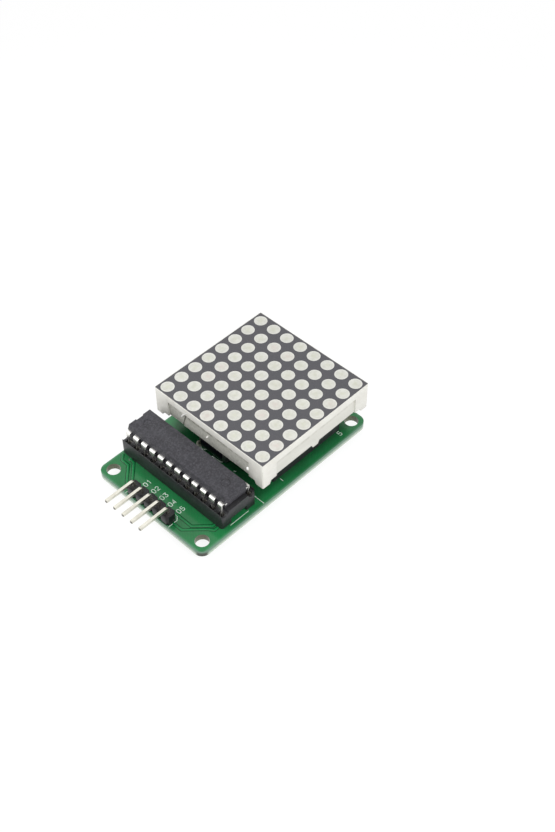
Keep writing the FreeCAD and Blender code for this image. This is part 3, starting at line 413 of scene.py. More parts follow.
@dataclass(frozen=True)
class MaskFinish(Finish):
    """Glossy green solder mask on both faces, with the bare laminate at the board's edges."""

    board_height: float = 1.6
    film_height: float = 0.035
    laminate: Colour = (196, 212, 192)
    glass: Colour = (226, 234, 220)
    glass_layer: float = 0.2
    weave: float = 0.45
    # Partly the mask's own green over the edge, partly painted shade.
    edge_green_and_shade: Colour = (100, 138, 116)
    half_sides: Pair = (25.0, 16.0)
    # Paler along the outline: partly thin mask, partly a painted highlight.
    rim: Colour = (150, 186, 166)
    rim_width: float = 0.6
    hole_at: Pair = (22.5, 13.5)
    hole_reach: Pair = (1.7, 1.8)
    # Painted shade in the drilled walls.
    hole_wall_shade: Colour = (112, 112, 88)
    corner: Pair = (-24.6, -15.6)
    corner_reach: Pair = (0.9, 1.7)
    # Painted shade on the lower half of one corner.
    corner_shade: Colour = (70, 74, 66)
    # Painted shadow of the matrix case beside the long sockets.
    case_shadow: Colour = (8, 58, 30)
    case_shadow_width: float = 2.0
    strip_edge: float = 13.25
    strip_span: Pair = (-6.5, 21.0)
    # Painted pool of light round one point of the long edge.
    lit_patch_at: Pair = (-6.4, 15.4)
    lit_patch_reach: Pair = (1.2, 4.2)
    painted_light_green: Colour = (84, 168, 112)

    def edge(self, graph: Graph) -> Socket:
        """Layers of glass cloth, by the sine of the height plus noise, darker towards the top.

        There they take up the mask's green, partly as the mask's own colour over the edge and
        partly as painted shade. The drilled walls are browner and the lower half of one corner is
        darker, both with painted shade.

        Args:
            graph: The material's graph.

        Returns:
            The colour of the laminate where it is cut.
        """
        x, y, z = graph.place
        layers = graph.math("SINE", graph.times(z, 2 * math.pi / self.glass_layer))
        share = graph.remap(graph.plus(layers, graph.noise(3000.0, 3.0)), -0.6, 1.4)
        cloth = graph.blend(share, self.laminate, self.glass)
        # Darker and greener towards the top: partly the mask's green, partly painted shade.
        core = graph.blend(graph.remap(z, -0.1, self.board_height - 0.35), cloth, self.edge_green_and_shade)
        # Painted shade: the drilled walls are browner.
        folded = (graph.math("ABSOLUTE", x), graph.math("ABSOLUTE", y))
        drilled = graph.near(folded, self.hole_at, *self.hole_reach)
        core = graph.blend(graph.times(drilled, 0.85), core, self.hole_wall_shade)
        # Painted shade on the lower half of one corner.
        corner_shade_share = graph.times(graph.near((x, y), self.corner, *self.corner_reach),
                             graph.remap(z, 1.2, 0.8))
        return graph.blend(corner_shade_share, core, self.corner_shade)

    def paint(self, graph: Graph, colour: Socket) -> Socket:
        """The cut edge shows where the height is inside both faces by the mask's own thickness.

        The weave shows faintly through the mask, as the product of two sines. A painted shadow of
        the matrix case darkens the top face beside the long sockets, less and less over its width.
        The top face is paler round one point of the long edge, a painted pool of light. Both faces
        are paler along the outline, partly where the mask is thin and partly with a painted
        highlight.

        Args:
            graph: The material's graph.
            colour: The clouded mask.

        Returns:
            The colour with the laminate's edge.
        """
        x, y, z = graph.place
        warp, weft = [graph.math("SINE", graph.times(part, 2 * math.pi / self.weave))
                      for part in (x, y)]
        show_through = graph.remap(graph.times(warp, weft), -1.0, 1.0, end=0.035)
        mask = graph.blend(show_through, colour, self.laminate)
        half = self.board_height / 2
        on_top = graph.math("GREATER_THAN", z, half)
        # Painted shadow of the matrix case beside the long sockets.
        first, last = self.strip_span
        aside = graph.minus(graph.math("ABSOLUTE", y), self.strip_edge)
        case_shadow_share = graph.times(graph.remap(aside, self.case_shadow_width, 0.0, end=0.6), on_top,
                            graph.remap(x, first - 1.0, first), graph.remap(x, last + 1.0, last))
        mask = graph.blend(case_shadow_share, mask, self.case_shadow)
        # Painted pool of light round one point of the long edge.
        lit_patch_share = graph.times(graph.near((x, y), self.lit_patch_at, *self.lit_patch_reach), on_top, 0.65)
        mask = graph.blend(lit_patch_share, mask, self.painted_light_green)
        # Paler along the outline: partly thin mask, partly a painted highlight.
        to_rim = [graph.minus(end, graph.math("ABSOLUTE", part))
                  for end, part in zip(self.half_sides, (x, y))]
        thin = graph.remap(graph.math("MINIMUM", *to_rim), self.rim_width, 0.0, end=0.24)
        mask = graph.blend(thin, mask, self.rim)
        cut = graph.math("LESS_THAN", graph.off(z, half), half - self.film_height)
        return graph.blend(cut, mask, self.edge(graph))


@dataclass(frozen=True)
class CaseFinish(Finish):
    """White plastic whose recessed side panels are duller with painted shade. A painted shadow
    lies along the lip's foot, the near side's panel is mottled with a painted reflection, and a
    painted shadow runs along a slanting line on it."""

    middle: Pair = (8.5, 0.0)
    recess: float = 15.9
    lip: float = 11.8
    near_side: float = -6.9
    line_at: float = 6.55
    line_slope: float = 0.33
    # Painted shade of the recessed panels.
    panel: Colour = (228, 227, 218)
    # Painted reflection on the near side's panel.
    reflection_mottle: Colour = (206, 207, 196)
    # Painted shadow under the lip.
    lip_shadow: Colour = (146, 144, 132)
    lip_shadow_reach: Pair = (0.9, 1.4)
    # Painted shadow along the slanting line on the near side.
    streak: Colour = (98, 94, 84)

    def paint(self, graph: Graph, colour: Socket) -> Socket:
        """Panel = points below the lip and inside the outer faces.

        The panel is duller with painted shade. A painted shadow lies below the lip, as share =
        smooth step of the drop from the lip, times noise, and is fainter on the three other sides.
        On the near side the panel is mottled with a painted reflection, and a painted shadow runs
        where y = line_at + line_slope * drop; beyond that line the panel has less painted shade
        and is brighter.

        Args:
            graph: The material's graph.
            colour: The clouded plastic.

        Returns:
            The colour with its duller panels.
        """
        x, y, z = graph.place
        outwards = [graph.off(part, middle) for part, middle in zip((x, y), self.middle)]
        inside = graph.math("LESS_THAN", graph.math("MAXIMUM", *outwards), self.recess)
        panel = graph.times(inside, graph.math("LESS_THAN", z, self.lip + 0.01))
        side = graph.math("LESS_THAN", x, self.near_side)
        drop = graph.minus(self.lip, z)
        along = graph.minus(graph.minus(y, self.line_at), graph.times(drop, self.line_slope))
        # Beyond the slanting line the panel has less painted shade.
        bright = graph.times(side, graph.remap(along, -0.1, 0.1, end=0.8))
        panel_shade_share = graph.minus(1.0, bright)
        patchy = graph.remap(graph.noise(320.0, 3.0), 0.3, 0.7, start=0.55)
        # Painted shade: the recessed panels are duller.
        shade = graph.blend(graph.times(panel, patchy, panel_shade_share), colour, self.panel)
        # Painted reflection: darker mottling on the near side's panel.
        reflection_blotch = graph.remap(graph.noise(2000.0, 3.0), 0.4, 0.7, end=0.8)
        shade = graph.blend(graph.times(reflection_blotch, panel, side), shade, self.reflection_mottle)
        # Painted shadow under the lip, broken up by noise.
        lip_shadow_breakup = graph.remap(graph.noise(900.0, 4.0), 0.36, 0.66, 0.05, 0.9)
        inner, outer = self.lip_shadow_reach
        lip_shadow_share = graph.times(graph.remap(drop, outer, inner), lip_shadow_breakup, panel_shade_share, panel,
                           graph.remap(side, 0.0, 1.0, start=0.3))
        shade = graph.blend(lip_shadow_share, shade, self.lip_shadow)
        # Painted shadow along the slanting line on the near side.
        line = graph.remap(graph.off(along, 0.05), 0.3, 0.08, end=0.85)
        return graph.blend(graph.times(line, side, panel), shade, self.streak)


@dataclass(frozen=True)
class DotFinish(Finish):
    """Milky resin: each dot has a faint tinted middle and a bright rim from its white well."""

    pitch: float = 4.0
    corner: Pair = (-7.5, -16.0)
    face: float = 13.6
    yellow: Colour = (206, 208, 186)
    pink: Colour = (214, 200, 192)
    well: Colour = (234, 234, 229)

    def cell(self, graph: Graph) -> tuple[Socket, Socket, Socket]:
        """Distance from the middle of the nearest dot, a number for that dot, and a face mask.

        Args:
            graph: The material's graph.

        Returns:
            The distance in millimetres, the dot's random number, and 1 on the lit face.
        """
        x, y, z = graph.place
        steps = [graph.math("DIVIDE", graph.minus(part, start), self.pitch)
                 for part, start in zip((x, y), self.corner)]
        within = tuple(graph.math("FRACT", step) for step in steps)
        reach = graph.times(graph.reach(within, (0.5, 0.5)), self.pitch)
        counts = {k: graph.math("FLOOR", step) for k, step in enumerate(steps)}
        number = graph.node("ShaderNodeCombineXYZ", counts).outputs[0]
        chance = graph.node("ShaderNodeTexWhiteNoise", {0: number}, noise_dimensions="2D")
        top = graph.math("GREATER_THAN", z, self.face - 0.05)
        return reach, chance.outputs["Value"], top

    def paint(self, graph: Graph, colour: Socket) -> Socket:
        """Tint = a disc in yellow or pink that fades out by 1.25 mm, and a paler ring beyond.

        Args:
            graph: The material's graph.
            colour: The clouded resin.

        Returns:
            The colour with its dots.
        """
        reach, chance, top = self.cell(graph)
        hue = graph.blend(graph.remap(chance, 0.84, 0.92), self.yellow, self.pink)
        cast = graph.blend(graph.times(graph.remap(chance, 0.0, 1.0), 0.16), colour, hue)
        wobble = graph.times(graph.noise(1500.0, 3.0), 0.7)
        middle = graph.remap(graph.plus(reach, wobble), 1.25, 0.4, end=0.5)
        tinted = graph.blend(graph.times(middle, top), cast, hue)
        ring = graph.remap(reach, 1.05, 1.45, end=0.5)
        return graph.blend(graph.times(ring, top), tinted, self.well)

    def relief(self, graph: Graph, height: Socket) -> Socket:
        """Meniscus: height grows with the square of the distance from the dot's middle.

        Args:
            graph: The material's graph.
            height: Height of the grain.

        Returns:
            The height of both.
        """
        reach, _, top = self.cell(graph)
        dish = graph.times(graph.math("POWER", reach, 2.0), 3.0, top)
        return graph.plus(graph.times(height, 0.6), dish)


@dataclass(frozen=True)
class ChipFinish(Finish):
    """Matt moulding compound with a smoother ring where an ejector pin pressed."""

    top: float = 9.4
    filler: Colour = (78, 77, 83)
    ring_at: Pair = (-13.0, -10.9)
    ring_radius: float = 0.95
    ring_shade: Colour = (26, 26, 29)
    ring_depth: float = 4.0
    flow_at: float = 8.22
    flow_slope: float = 0.06
    flow_shade: Colour = (104, 104, 110)

    def ring(self, graph: Graph) -> Socket:
        """Mask of the thin circle on the top face: narrow peak of distance about its radius.

        Args:
            graph: The material's graph.

        Returns:
            1 on the circle and 0 off it.
        """
        x, y, z = graph.place
        away = graph.off(graph.reach((x, y), self.ring_at), self.ring_radius)
        on_top = graph.math("GREATER_THAN", z, self.top - 0.05)
        return graph.times(graph.remap(away, 0.12, 0.02), on_top)

    def paint(self, graph: Graph, colour: Socket) -> Socket:
        """Filler speckle, a darker ring, and a faint paler flow line near the notched end.

        The flow line is where y + flow_slope * x = flow_at.

        Args:
            graph: The material's graph.
            colour: The clouded compound.

        Returns:
            The colour with its marks.
        """
        x, y, _ = graph.place
        speck = graph.remap(graph.noise(2600.0, 4.0), 0.4, 0.66, end=0.8)
        speckled = graph.blend(speck, colour, self.filler)
        ring = graph.times(self.ring(graph), 0.75)
        marked = graph.blend(ring, speckled, self.ring_shade)
        away = graph.off(graph.plus(y, graph.times(x, self.flow_slope)), self.flow_at)
        return graph.blend(graph.remap(away, 0.22, 0.05, end=0.16), marked, self.flow_shade)

    def relief(self, graph: Graph, height: Socket) -> Socket:
        """The ring is sunk into the grain."""
        return graph.minus(height, graph.times(self.ring(graph), self.ring_depth))


@dataclass(frozen=True)
class TipFinish(Finish):
    """Plated pin with a bare, darker tip where it was sheared off."""

    tip_at: float = -30.95
    bare: Colour = (120, 118, 112)

    def paint(self, graph: Graph, colour: Socket) -> Socket:
        """Tip = a step in the distance along X."""
        tip = graph.remap(graph.place[0], self.tip_at + 0.05, self.tip_at - 0.05)
        return graph.blend(tip, colour, self.bare)


@dataclass(frozen=True)
class BandedFinish(Finish):
    """Lacquer with painted rings round a part that lies along Y."""

    bands: tuple[float, ...] = (-2.1, -1.1, -0.1, 1.9)
    paints: tuple[Colour, ...] = ((120, 66, 36), (24, 22, 24), (206, 96, 38), (190, 152, 66))
    width: float = 0.46

    def paint(self, graph: Graph, colour: Socket) -> Socket:
        """Each ring = a step in the distance along Y from its own middle.

        Args:
            graph: The material's graph.
            colour: The clouded lacquer.

        Returns:
            The colour with its rings.
        """
        y = graph.place[1]
        for place, shade in zip(self.bands, self.paints):
            ring = graph.remap(graph.off(y, place), self.width / 2, self.width / 2 - 0.05)
            colour = graph.blend(ring, colour, shade)
        return colour


@dataclass(frozen=True)
class StripedFinish(Finish):
    """Printed film with one pale stripe along its side, for the negative lead."""

    middle: Pair = (-3.7, 4.1)
    stripe: Colour = (196, 198, 202)
    half_angle: float = 25.17

    def paint(self, graph: Graph, colour: Socket) -> Socket:
        """Stripe = points whose angle round the part's axis is within half_angle of +X.

        Args:
            graph: The material's graph.
            colour: The clouded film.

        Returns:
            The colour with its stripe.
        """
        x, _, z = graph.place
        across = graph.minus(x, self.middle[0])
        slope = math.tan(math.radians(self.half_angle))
        inside = graph.minus(graph.times(across, slope), graph.off(z, self.middle[1]))
        return graph.blend(graph.remap(inside, 0.0, 0.06), colour, self.stripe)


MASK = MaskFinish("solder_mask_green", (15, 126, 66), (10, 110, 56), rough=0.17, cloud=90.0,
                  depth=0.002, spread=0.08, dust=0.02, scuff=0.05, shine=0.34)
TRACK = Finish("solder_mask_on_copper", (19, 133, 71), (14, 118, 61), rough=0.17, cloud=300.0,
               depth=0.002, spread=0.08, dust=0.02, scuff=0.05, shine=0.34)
GAP = Finish("solder_mask_on_laminate", (8, 68, 35), (10, 77, 40), rough=0.2, cloud=300.0,
             depth=0.002, spread=0.08, dust=0.0, scuff=0.05, shine=0.34)
# Whiter than the case's plastic and part metal, so that it glints: painted glint.
GATE_GLINT = Finish("gate_mark_painted_glint", (252, 252, 248), (246, 246, 240), rough=0.32, metal=0.6,
              cloud=900.0, depth=0.002, dust=0.0)
# Whiter than the case's plastic: painted highlight.
FLASH_HIGHLIGHT = Finish("flash_painted_highlight", (254, 254, 252), (250, 250, 246), rough=0.3, dust=0.0)
INK = Finish("print_ink_white", (226, 240, 228), (206, 228, 212), rough=0.55, cloud=900.0,
             depth=0.006)
CASE = CaseFinish("case_plastic_white", (238, 237, 230), (230, 228, 220), rough=0.42, cloud=260.0,
                  grain=5200.0, depth=0.006, spread=0.24, dust=0.05, scuff=0.14)
FACE = Finish("face_ink_grey", (80, 79, 84), (71, 71, 77), rough=0.56, cloud=420.0,
              grain=7000.0, depth=0.005, dust=0.07, scuff=0.06)
DOT = DotFinish("dot_resin_milky", (226, 226, 218), (211, 211, 202), rough=0.34, cloud=1300.0,
                depth=0.01, spread=0.1, dust=0.03, coat=0.1)
SUBSTRATE = Finish("inner_board_white", (214, 208, 190), (204, 198, 178), rough=0.45)
BLACK = Finish("socket_plastic_black", (34, 34, 37), (44, 44, 48), rough=0.42, cloud=320.0,
               grain=6000.0, depth=0.006, spread=0.24, dust=0.09, scuff=0.16)
HEADER = Finish("header_plastic_black", (18, 18, 21), (27, 27, 31), rough=0.36, cloud=380.0,
                grain=6500.0, depth=0.006, spread=0.24, dust=0.04, scuff=0.14, shine=0.3)
CHIP = ChipFinish("chip_moulding_grey", (60, 60, 65), (52, 51, 56), rough=0.6, cloud=330.0,
                  grain=4200.0, depth=0.012, dust=0.02, shine=0.3)
SHEET = Finish("lead_sheet_tinned", (246, 245, 241), (226, 225, 220), rough=0.34, metal=1.0,
               cloud=700.0, grain=8000.0, depth=0.003, dust=0.04, scuff=0.2)
SPRING = Finish("spring_sheet_tinned", (202, 200, 192), (178, 176, 168), rough=0.34, metal=1.0,
                cloud=600.0, depth=0.003, dust=0.02, scuff=0.2)
PIN = TipFinish("pin_plated", (228, 226, 214), (206, 203, 190), rough=0.3, metal=1.0, cloud=500.0,
                grain=8000.0, depth=0.003, spread=0.16, dust=0.03, scuff=0.22)
# Darker than the other tinned metal: painted shade.
SHADED_WIRE = Finish("wire_tinned_painted_shade", (158, 156, 150), (138, 136, 130), rough=0.32, metal=1.0,
              cloud=600.0, depth=0.003, dust=0.02, scuff=0.18)
SOLDER = Finish("solder_joint", (198, 200, 202), (168, 170, 172), rough=0.24, metal=1.0,
                cloud=900.0, grain=3000.0, depth=0.01, spread=0.3, dust=0.02, scuff=0.06)
PLATING = Finish("plated_copper_tinned", (206, 204, 192), (188, 186, 172), rough=0.34, metal=1.0,
                 cloud=800.0, depth=0.006, dust=0.02)
CAN = Finish("can_aluminium", (158, 159, 161), (142, 143, 145), rough=0.4, metal=1.0,
             cloud=300.0, depth=0.003, scuff=0.24)
SLEEVE = StripedFinish("sleeve_film_black", (22, 24, 30), (28, 30, 38), rough=0.3, cloud=200.0,
                       depth=0.003, dust=0.05, coat=0.3)
BUNG = Finish("bung_rubber_black", (28, 27, 27), (36, 35, 34), rough=0.78, grain=4000.0,
              depth=0.01)
RESISTOR = BandedFinish("resistor_lacquer", (214, 190, 148), (204, 178, 134), rough=0.36,
                        cloud=500.0, dust=0.05, coat=0.3)
CERAMIC = Finish("ceramic_dip_tan", (190, 112, 44), (172, 96, 36), rough=0.4, cloud=500.0,
                 grain=3000.0, depth=0.012, dust=0.05, coat=0.2)


# Surfaces

# Merging distances are in metres and angles in degrees.
SURFACE_MERGE = 2e-7
SOLID_MERGE = 1e-7
SURFACE_CREASE = 35.0
SOLID_CREASE = 30.0
FLAT_ANGLE = 0.2
ROUNDED_ANGLE = 40.0


def stand(name: str, data: bpy.types.ID) -> bpy.types.Object:
    """Adds an object to the scene.

    Args:
        name: Its name.
        data: Its mesh, camera or light.

    Returns:
        The object.
    """
    made = bpy.data.objects.new(name, data)
    bpy.context.scene.collection.objects.link(made)
    return made


@contextmanager
def opened(mesh: bpy.types.Mesh, merge: float) -> Iterator[bmesh.types.BMesh]:
    """Opens a mesh for further steps and writes it back after them.

    Args:
        mesh: The mesh.
        merge: Points that lie nearer than this, in metres, are merged first.

    Yields:
        Its points, edges and faces.
    """
    shape = bmesh.new()
    shape.from_mesh(mesh)
    bmesh.ops.remove_doubles(shape, verts=shape.verts, dist=merge)
    yield shape
    shape.to_mesh(mesh)
    shape.free()


def cover(mesh: bpy.types.Mesh, finish: Finish, crease: float) -> None:
    """Gives a mesh its finish and smooth shading.

    Args:
        mesh: The mesh.
        finish: Its finish.
        crease: Edges that turn by more than this, in degrees, stay sharp.
    """
    mesh.shade_smooth()
    mesh.set_sharp_from_angle(angle=math.radians(crease))
    mesh.materials.clear()
    mesh.materials.append(finish.material())


class Surface:
    """Collects grids of points and makes them one mesh."""

    def __init__(self) -> None:
        """Starts with no points."""
        self.points: list[Points] = []
        self.quads: list[Points] = []
        self.count = 0

    def add(self, grid: Points, wrap_rows: bool = False) -> None:
        """Adds quads between the neighbours of a grid, as index arithmetic on whole arrays.

        Args:
            grid: Points in millimetres, rows by columns by three. The last column joins the
                first.
            wrap_rows: Whether the last row joins the first.
        """
        rows, columns = grid.shape[:2]
        i = np.arange(rows if wrap_rows else rows - 1)[:, None]
        j = np.arange(columns)[None, :]
        up, along = (i + 1) % rows, (j + 1) % columns
        corners = (i * columns + j, i * columns + along, up * columns + along, up * columns + j)
        quads = np.stack([np.broadcast_to(c, (i.size, j.size)) for c in corners], axis=-1)
        self.points.append(grid.reshape(-1, 3))
        self.quads.append(quads.reshape(-1, 4) + self.count)
        self.count += rows * columns

    def build(self, name: str, finish: Finish, slot: str) -> bpy.types.Object:
        """Makes the piece, closed and facing outwards, and gives it its finish and body.

        Points that meet are merged, which closes collapsed ends. Two loops of edges that are
        still open, such as a film's rim above and below, are joined by a wall.

        Args:
            name: The piece's name.
            finish: Its finish.
            slot: The record's material slot for the piece. It is not used.

        Returns:
            The finished object.
        """
        mesh = bpy.data.meshes.new(name)
        mesh.from_pydata(np.concatenate(self.points) * MM, [], np.concatenate(self.quads))
        with opened(mesh, SURFACE_MERGE) as shape:
            bmesh.ops.dissolve_degenerate(shape, edges=shape.edges, dist=SOLID_MERGE)
            rims = [edge for edge in shape.edges if edge.is_boundary]
            if rims:
                bmesh.ops.bridge_loops(shape, edges=rims)
            bmesh.ops.recalc_face_normals(shape, faces=shape.faces)
        cover(mesh, finish, SURFACE_CREASE)
        piece = stand(name, mesh)
        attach(piece, "root")
        LOG.info("%s: %d faces", name, len(mesh.polygons))
        return piece


def ribbon(path: Points, width: float, height: float, base: float) -> Points:
    """Low strip along a flat path, with a section of six points that has sloping shoulders.

    The sideways offset at each point is the mean normal of the runs beside it, divided by
    the cosine of half the turn, so the strip keeps its width. Both ends shrink to a point.

    Args:
        path: Points of the path, each x and y.
        width: Width of the strip.
        height: How far it stands up.
        base: Height that it stands on.

    Returns:
        A grid of points.
    """
    runs = np.diff(path, axis=0)
    runs = runs / np.linalg.norm(runs, axis=1, keepdims=True)
    before = np.vstack([runs[:1], runs])
    after = np.vstack([runs, runs[-1:]])
    mean = before + after
    mean = mean / np.linalg.norm(mean, axis=1, keepdims=True)
    cosine = np.clip((mean * after).sum(axis=1, keepdims=True), 0.5, 1.0)
    side = np.stack([-mean[:, 1], mean[:, 0]], axis=1) / cosine
    shoulder = min(0.25 * width, height)
    across = np.array([-0.5, -0.5, -0.5, 0.5, 0.5, 0.5]) * width
    across += np.array([0.0, 0.0, 1.0, -1.0, 0.0, 0.0]) * shoulder
    lift = np.array([0.0, 0.5, 1.0, 1.0, 0.5, 0.0]) * height
    body = np.empty((len(path), 6, 3))
    body[..., :2] = path[:, None, :] + across[None, :, None] * side[:, None, :]
    body[..., 2] = base + lift[None, :]
    tips = body[[0, -1]].mean(axis=1, keepdims=True).repeat(6, axis=1)
    return np.concatenate([tips[:1], body, tips[1:]])


def turned(section: Points, middle: Points, axis: Points, steps: int = 32) -> Points:
    """Section of radius and height turned round an axis.

    Each point is middle + height * axis + radius * (cos a * u + sin a * v), where u and v
    stand square to the axis.

    Args:
        section: Rows of radius and height.
        middle: A point on the axis.
        axis: Direction of the axis.
        steps: Points round the circle.

    Returns:
        A grid of points.
    """
    axis = axis / np.linalg.norm(axis)
    helper = np.array([0.0, 0.0, 1.0]) if abs(axis[2]) < 0.9 else np.array([1.0, 0.0, 0.0])
    u = np.cross(axis, helper)
    u = u / np.linalg.norm(u)
    v = np.cross(axis, u)
    angle = np.linspace(0.0, 2 * math.pi, steps, endpoint=False)[None, :, None]
    spoke = np.cos(angle) * u + np.sin(angle) * v
    return middle + section[:, None, 1:2] * axis + section[:, None, 0:1] * spoke


def soften(name: str, finish: Finish, width: float) -> bpy.types.Object:
    """Shows a solid with its sharp edges rounded, in a copy that stands in its place.

    The copy's loose triangles are merged and its flat faces joined first, so that the
    bevel runs along whole edges.

    Args:
        name: The solid's name.
        finish: Its finish.
        width: Width of the rounding in millimetres.

    Returns:
        The rounded piece.
    """
    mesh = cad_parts[name].data.copy()
    with opened(mesh, SOLID_MERGE) as shape:
        bmesh.ops.dissolve_limit(shape, verts=shape.verts, edges=shape.edges,
                                 angle_limit=math.radians(FLAT_ANGLE))
    piece = stand(f"{name}_rounded", mesh)
    bevel = piece.modifiers.new("edge_rounding", "BEVEL")
    bevel.width = width * MM
    bevel.segments = 2
    bevel.limit_method = "ANGLE"
    bevel.angle_limit = math.radians(ROUNDED_ANGLE)
    state = bpy.context.evaluated_depsgraph_get()
    rounded = bpy.data.meshes.new_from_object(piece.evaluated_get(state))
    piece.modifiers.clear()
    piece.data = rounded
    with opened(rounded, SOLID_MERGE) as shape:
        bmesh.ops.dissolve_degenerate(shape, edges=shape.edges, dist=SOLID_MERGE)
    cover(rounded, finish, SOLID_CREASE)
    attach(piece, "root")
    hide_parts(name)
    LOG.info("%s: rounded, %d faces", name, len(rounded.polygons))
    return piece


def dress(finish: Finish, *names: str) -> None:
    """Gives solids their finish.

    Args:
        finish: The finish.
        names: The solids' names.
    """
    for name in names:
        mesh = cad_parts[name].data
        mesh.materials.clear()
        mesh.materials.append(finish.material())
        LOG.info("%s: %s", name, finish.name)


# The module's parts


@dataclass
class DotMatrix:
    """The matrix: its white case, its dark face print, its milky dots and its pins."""

    middle: Pair = (8.5, 0.0)
    face_at: float = 13.6
    pitch: float = 4.0
    per_side: int = 8
    dot_radius: float = 1.5
    dot_steps: int = 64
    print_reach: float = 15.88
    film_height: float = 0.012
    rounding: float = 0.06
    panel_floor: float = -7.15
    gate_spots: tuple[tuple[float, float, float], ...] = ((-11.45, 8.95, 0.55), (0.35, 9.75, 0.19))
    gate_rise: float = 0.42
    gate_steps: int = 7
    flash: tuple[Pair, ...] = ((6.1, 12.9), (7.0, 11.7), (8.0, 10.4))
    flash_width: float = 0.32
    flash_height: float = 0.6
    flash_sunk: float = 0.2
    pins: int = 16

    def build(self) -> None:
        """Builds the printed film and the moulding marks, and dresses the solids."""
        self.face_print()
        self.gate_marks()
        self.flash_line()
        soften("matrix_case", CASE, self.rounding)
        dress(DOT, "matrix_potting")
        dress(SUBSTRATE, "matrix_substrate")
        dress(SHADED_WIRE, *[f"matrix_pin_{number}" for number in range(1, self.pins + 1)])

    def face_print(self) -> bpy.types.Object:
        """Dark film round the dots, one tile to a dot.

        A tile's points are a function of the angle round the dot and of the step outwards:
        the inner ones lie on the dot's circle, at radius (cos a, sin a), and the outer ones
        on the square about it, at (cos a, sin a) / max(|cos a|, |sin a|) times half the
        pitch, cut off where the print ends.

        Returns:
            The film.
        """
        surface = Surface()
        angle = np.linspace(0.0, 2 * math.pi, self.dot_steps, endpoint=False)
        way = np.stack([np.cos(angle), np.sin(angle)], axis=1)
        square = way / np.abs(way).max(axis=1, keepdims=True)
        places = (np.arange(self.per_side) - (self.per_side - 1) / 2) * self.pitch
        rise = np.array([self.film_height, self.film_height, 0.0, 0.0])
        for x in places:
            for y in places:
                inner = np.array([x, y]) + way * self.dot_radius
                outer = np.array([x, y]) + square * self.pitch / 2
                outer = np.clip(outer, -self.print_reach, self.print_reach)
                grid = np.empty((len(rise), len(angle), 3))
                grid[1:3, :, :2], grid[::3, :, :2] = inner, outer
                grid[..., :2] += self.middle
                grid[..., 2] = self.face_at + rise[:, None]
                surface.add(grid)
        return surface.build("face_print", FACE, "case_plastic")

    def gate_marks(self) -> bpy.types.Object:
        """Low domes on the near side panel, of height gate_rise * (1 - (radius / reach) ** 2).

        Returns:
            The marks, as one piece.
        """
        surface = Surface()
        for y, z, reach in self.gate_spots:
            radius = np.linspace(0.0, reach, self.gate_steps)
            rise = self.gate_rise * (1 - (radius / reach) ** 2)
            section = np.vstack([np.stack([radius, rise], axis=1), [[0.0, 0.0]]])
            middle = np.array([self.panel_floor, y, z])
            surface.add(turned(section, middle, np.array([-1.0, 0.0, 0.0])))
        # Their finish is a painted glint on the case's plastic.
        return surface.build("case_gate_marks", GATE_GLINT, "case_plastic")

    def flash_line(self) -> bpy.types.Object:
        """Line of flash beside the panel's step: a ribbon whose plane is turned upright.

        Returns:
            The line, whose height points out of the panel.
        """
        flat = ribbon(np.array(self.flash), self.flash_width, self.flash_height, 0.0)
        out = self.panel_floor + self.flash_sunk - flat[..., 2]
        surface = Surface()
        surface.add(np.stack([out, flat[..., 0], flat[..., 1]], axis=-1))
        # Its finish is whiter than the case: painted highlight.
        return surface.build("case_flash_line", FLASH_HIGHLIGHT, "case_plastic")


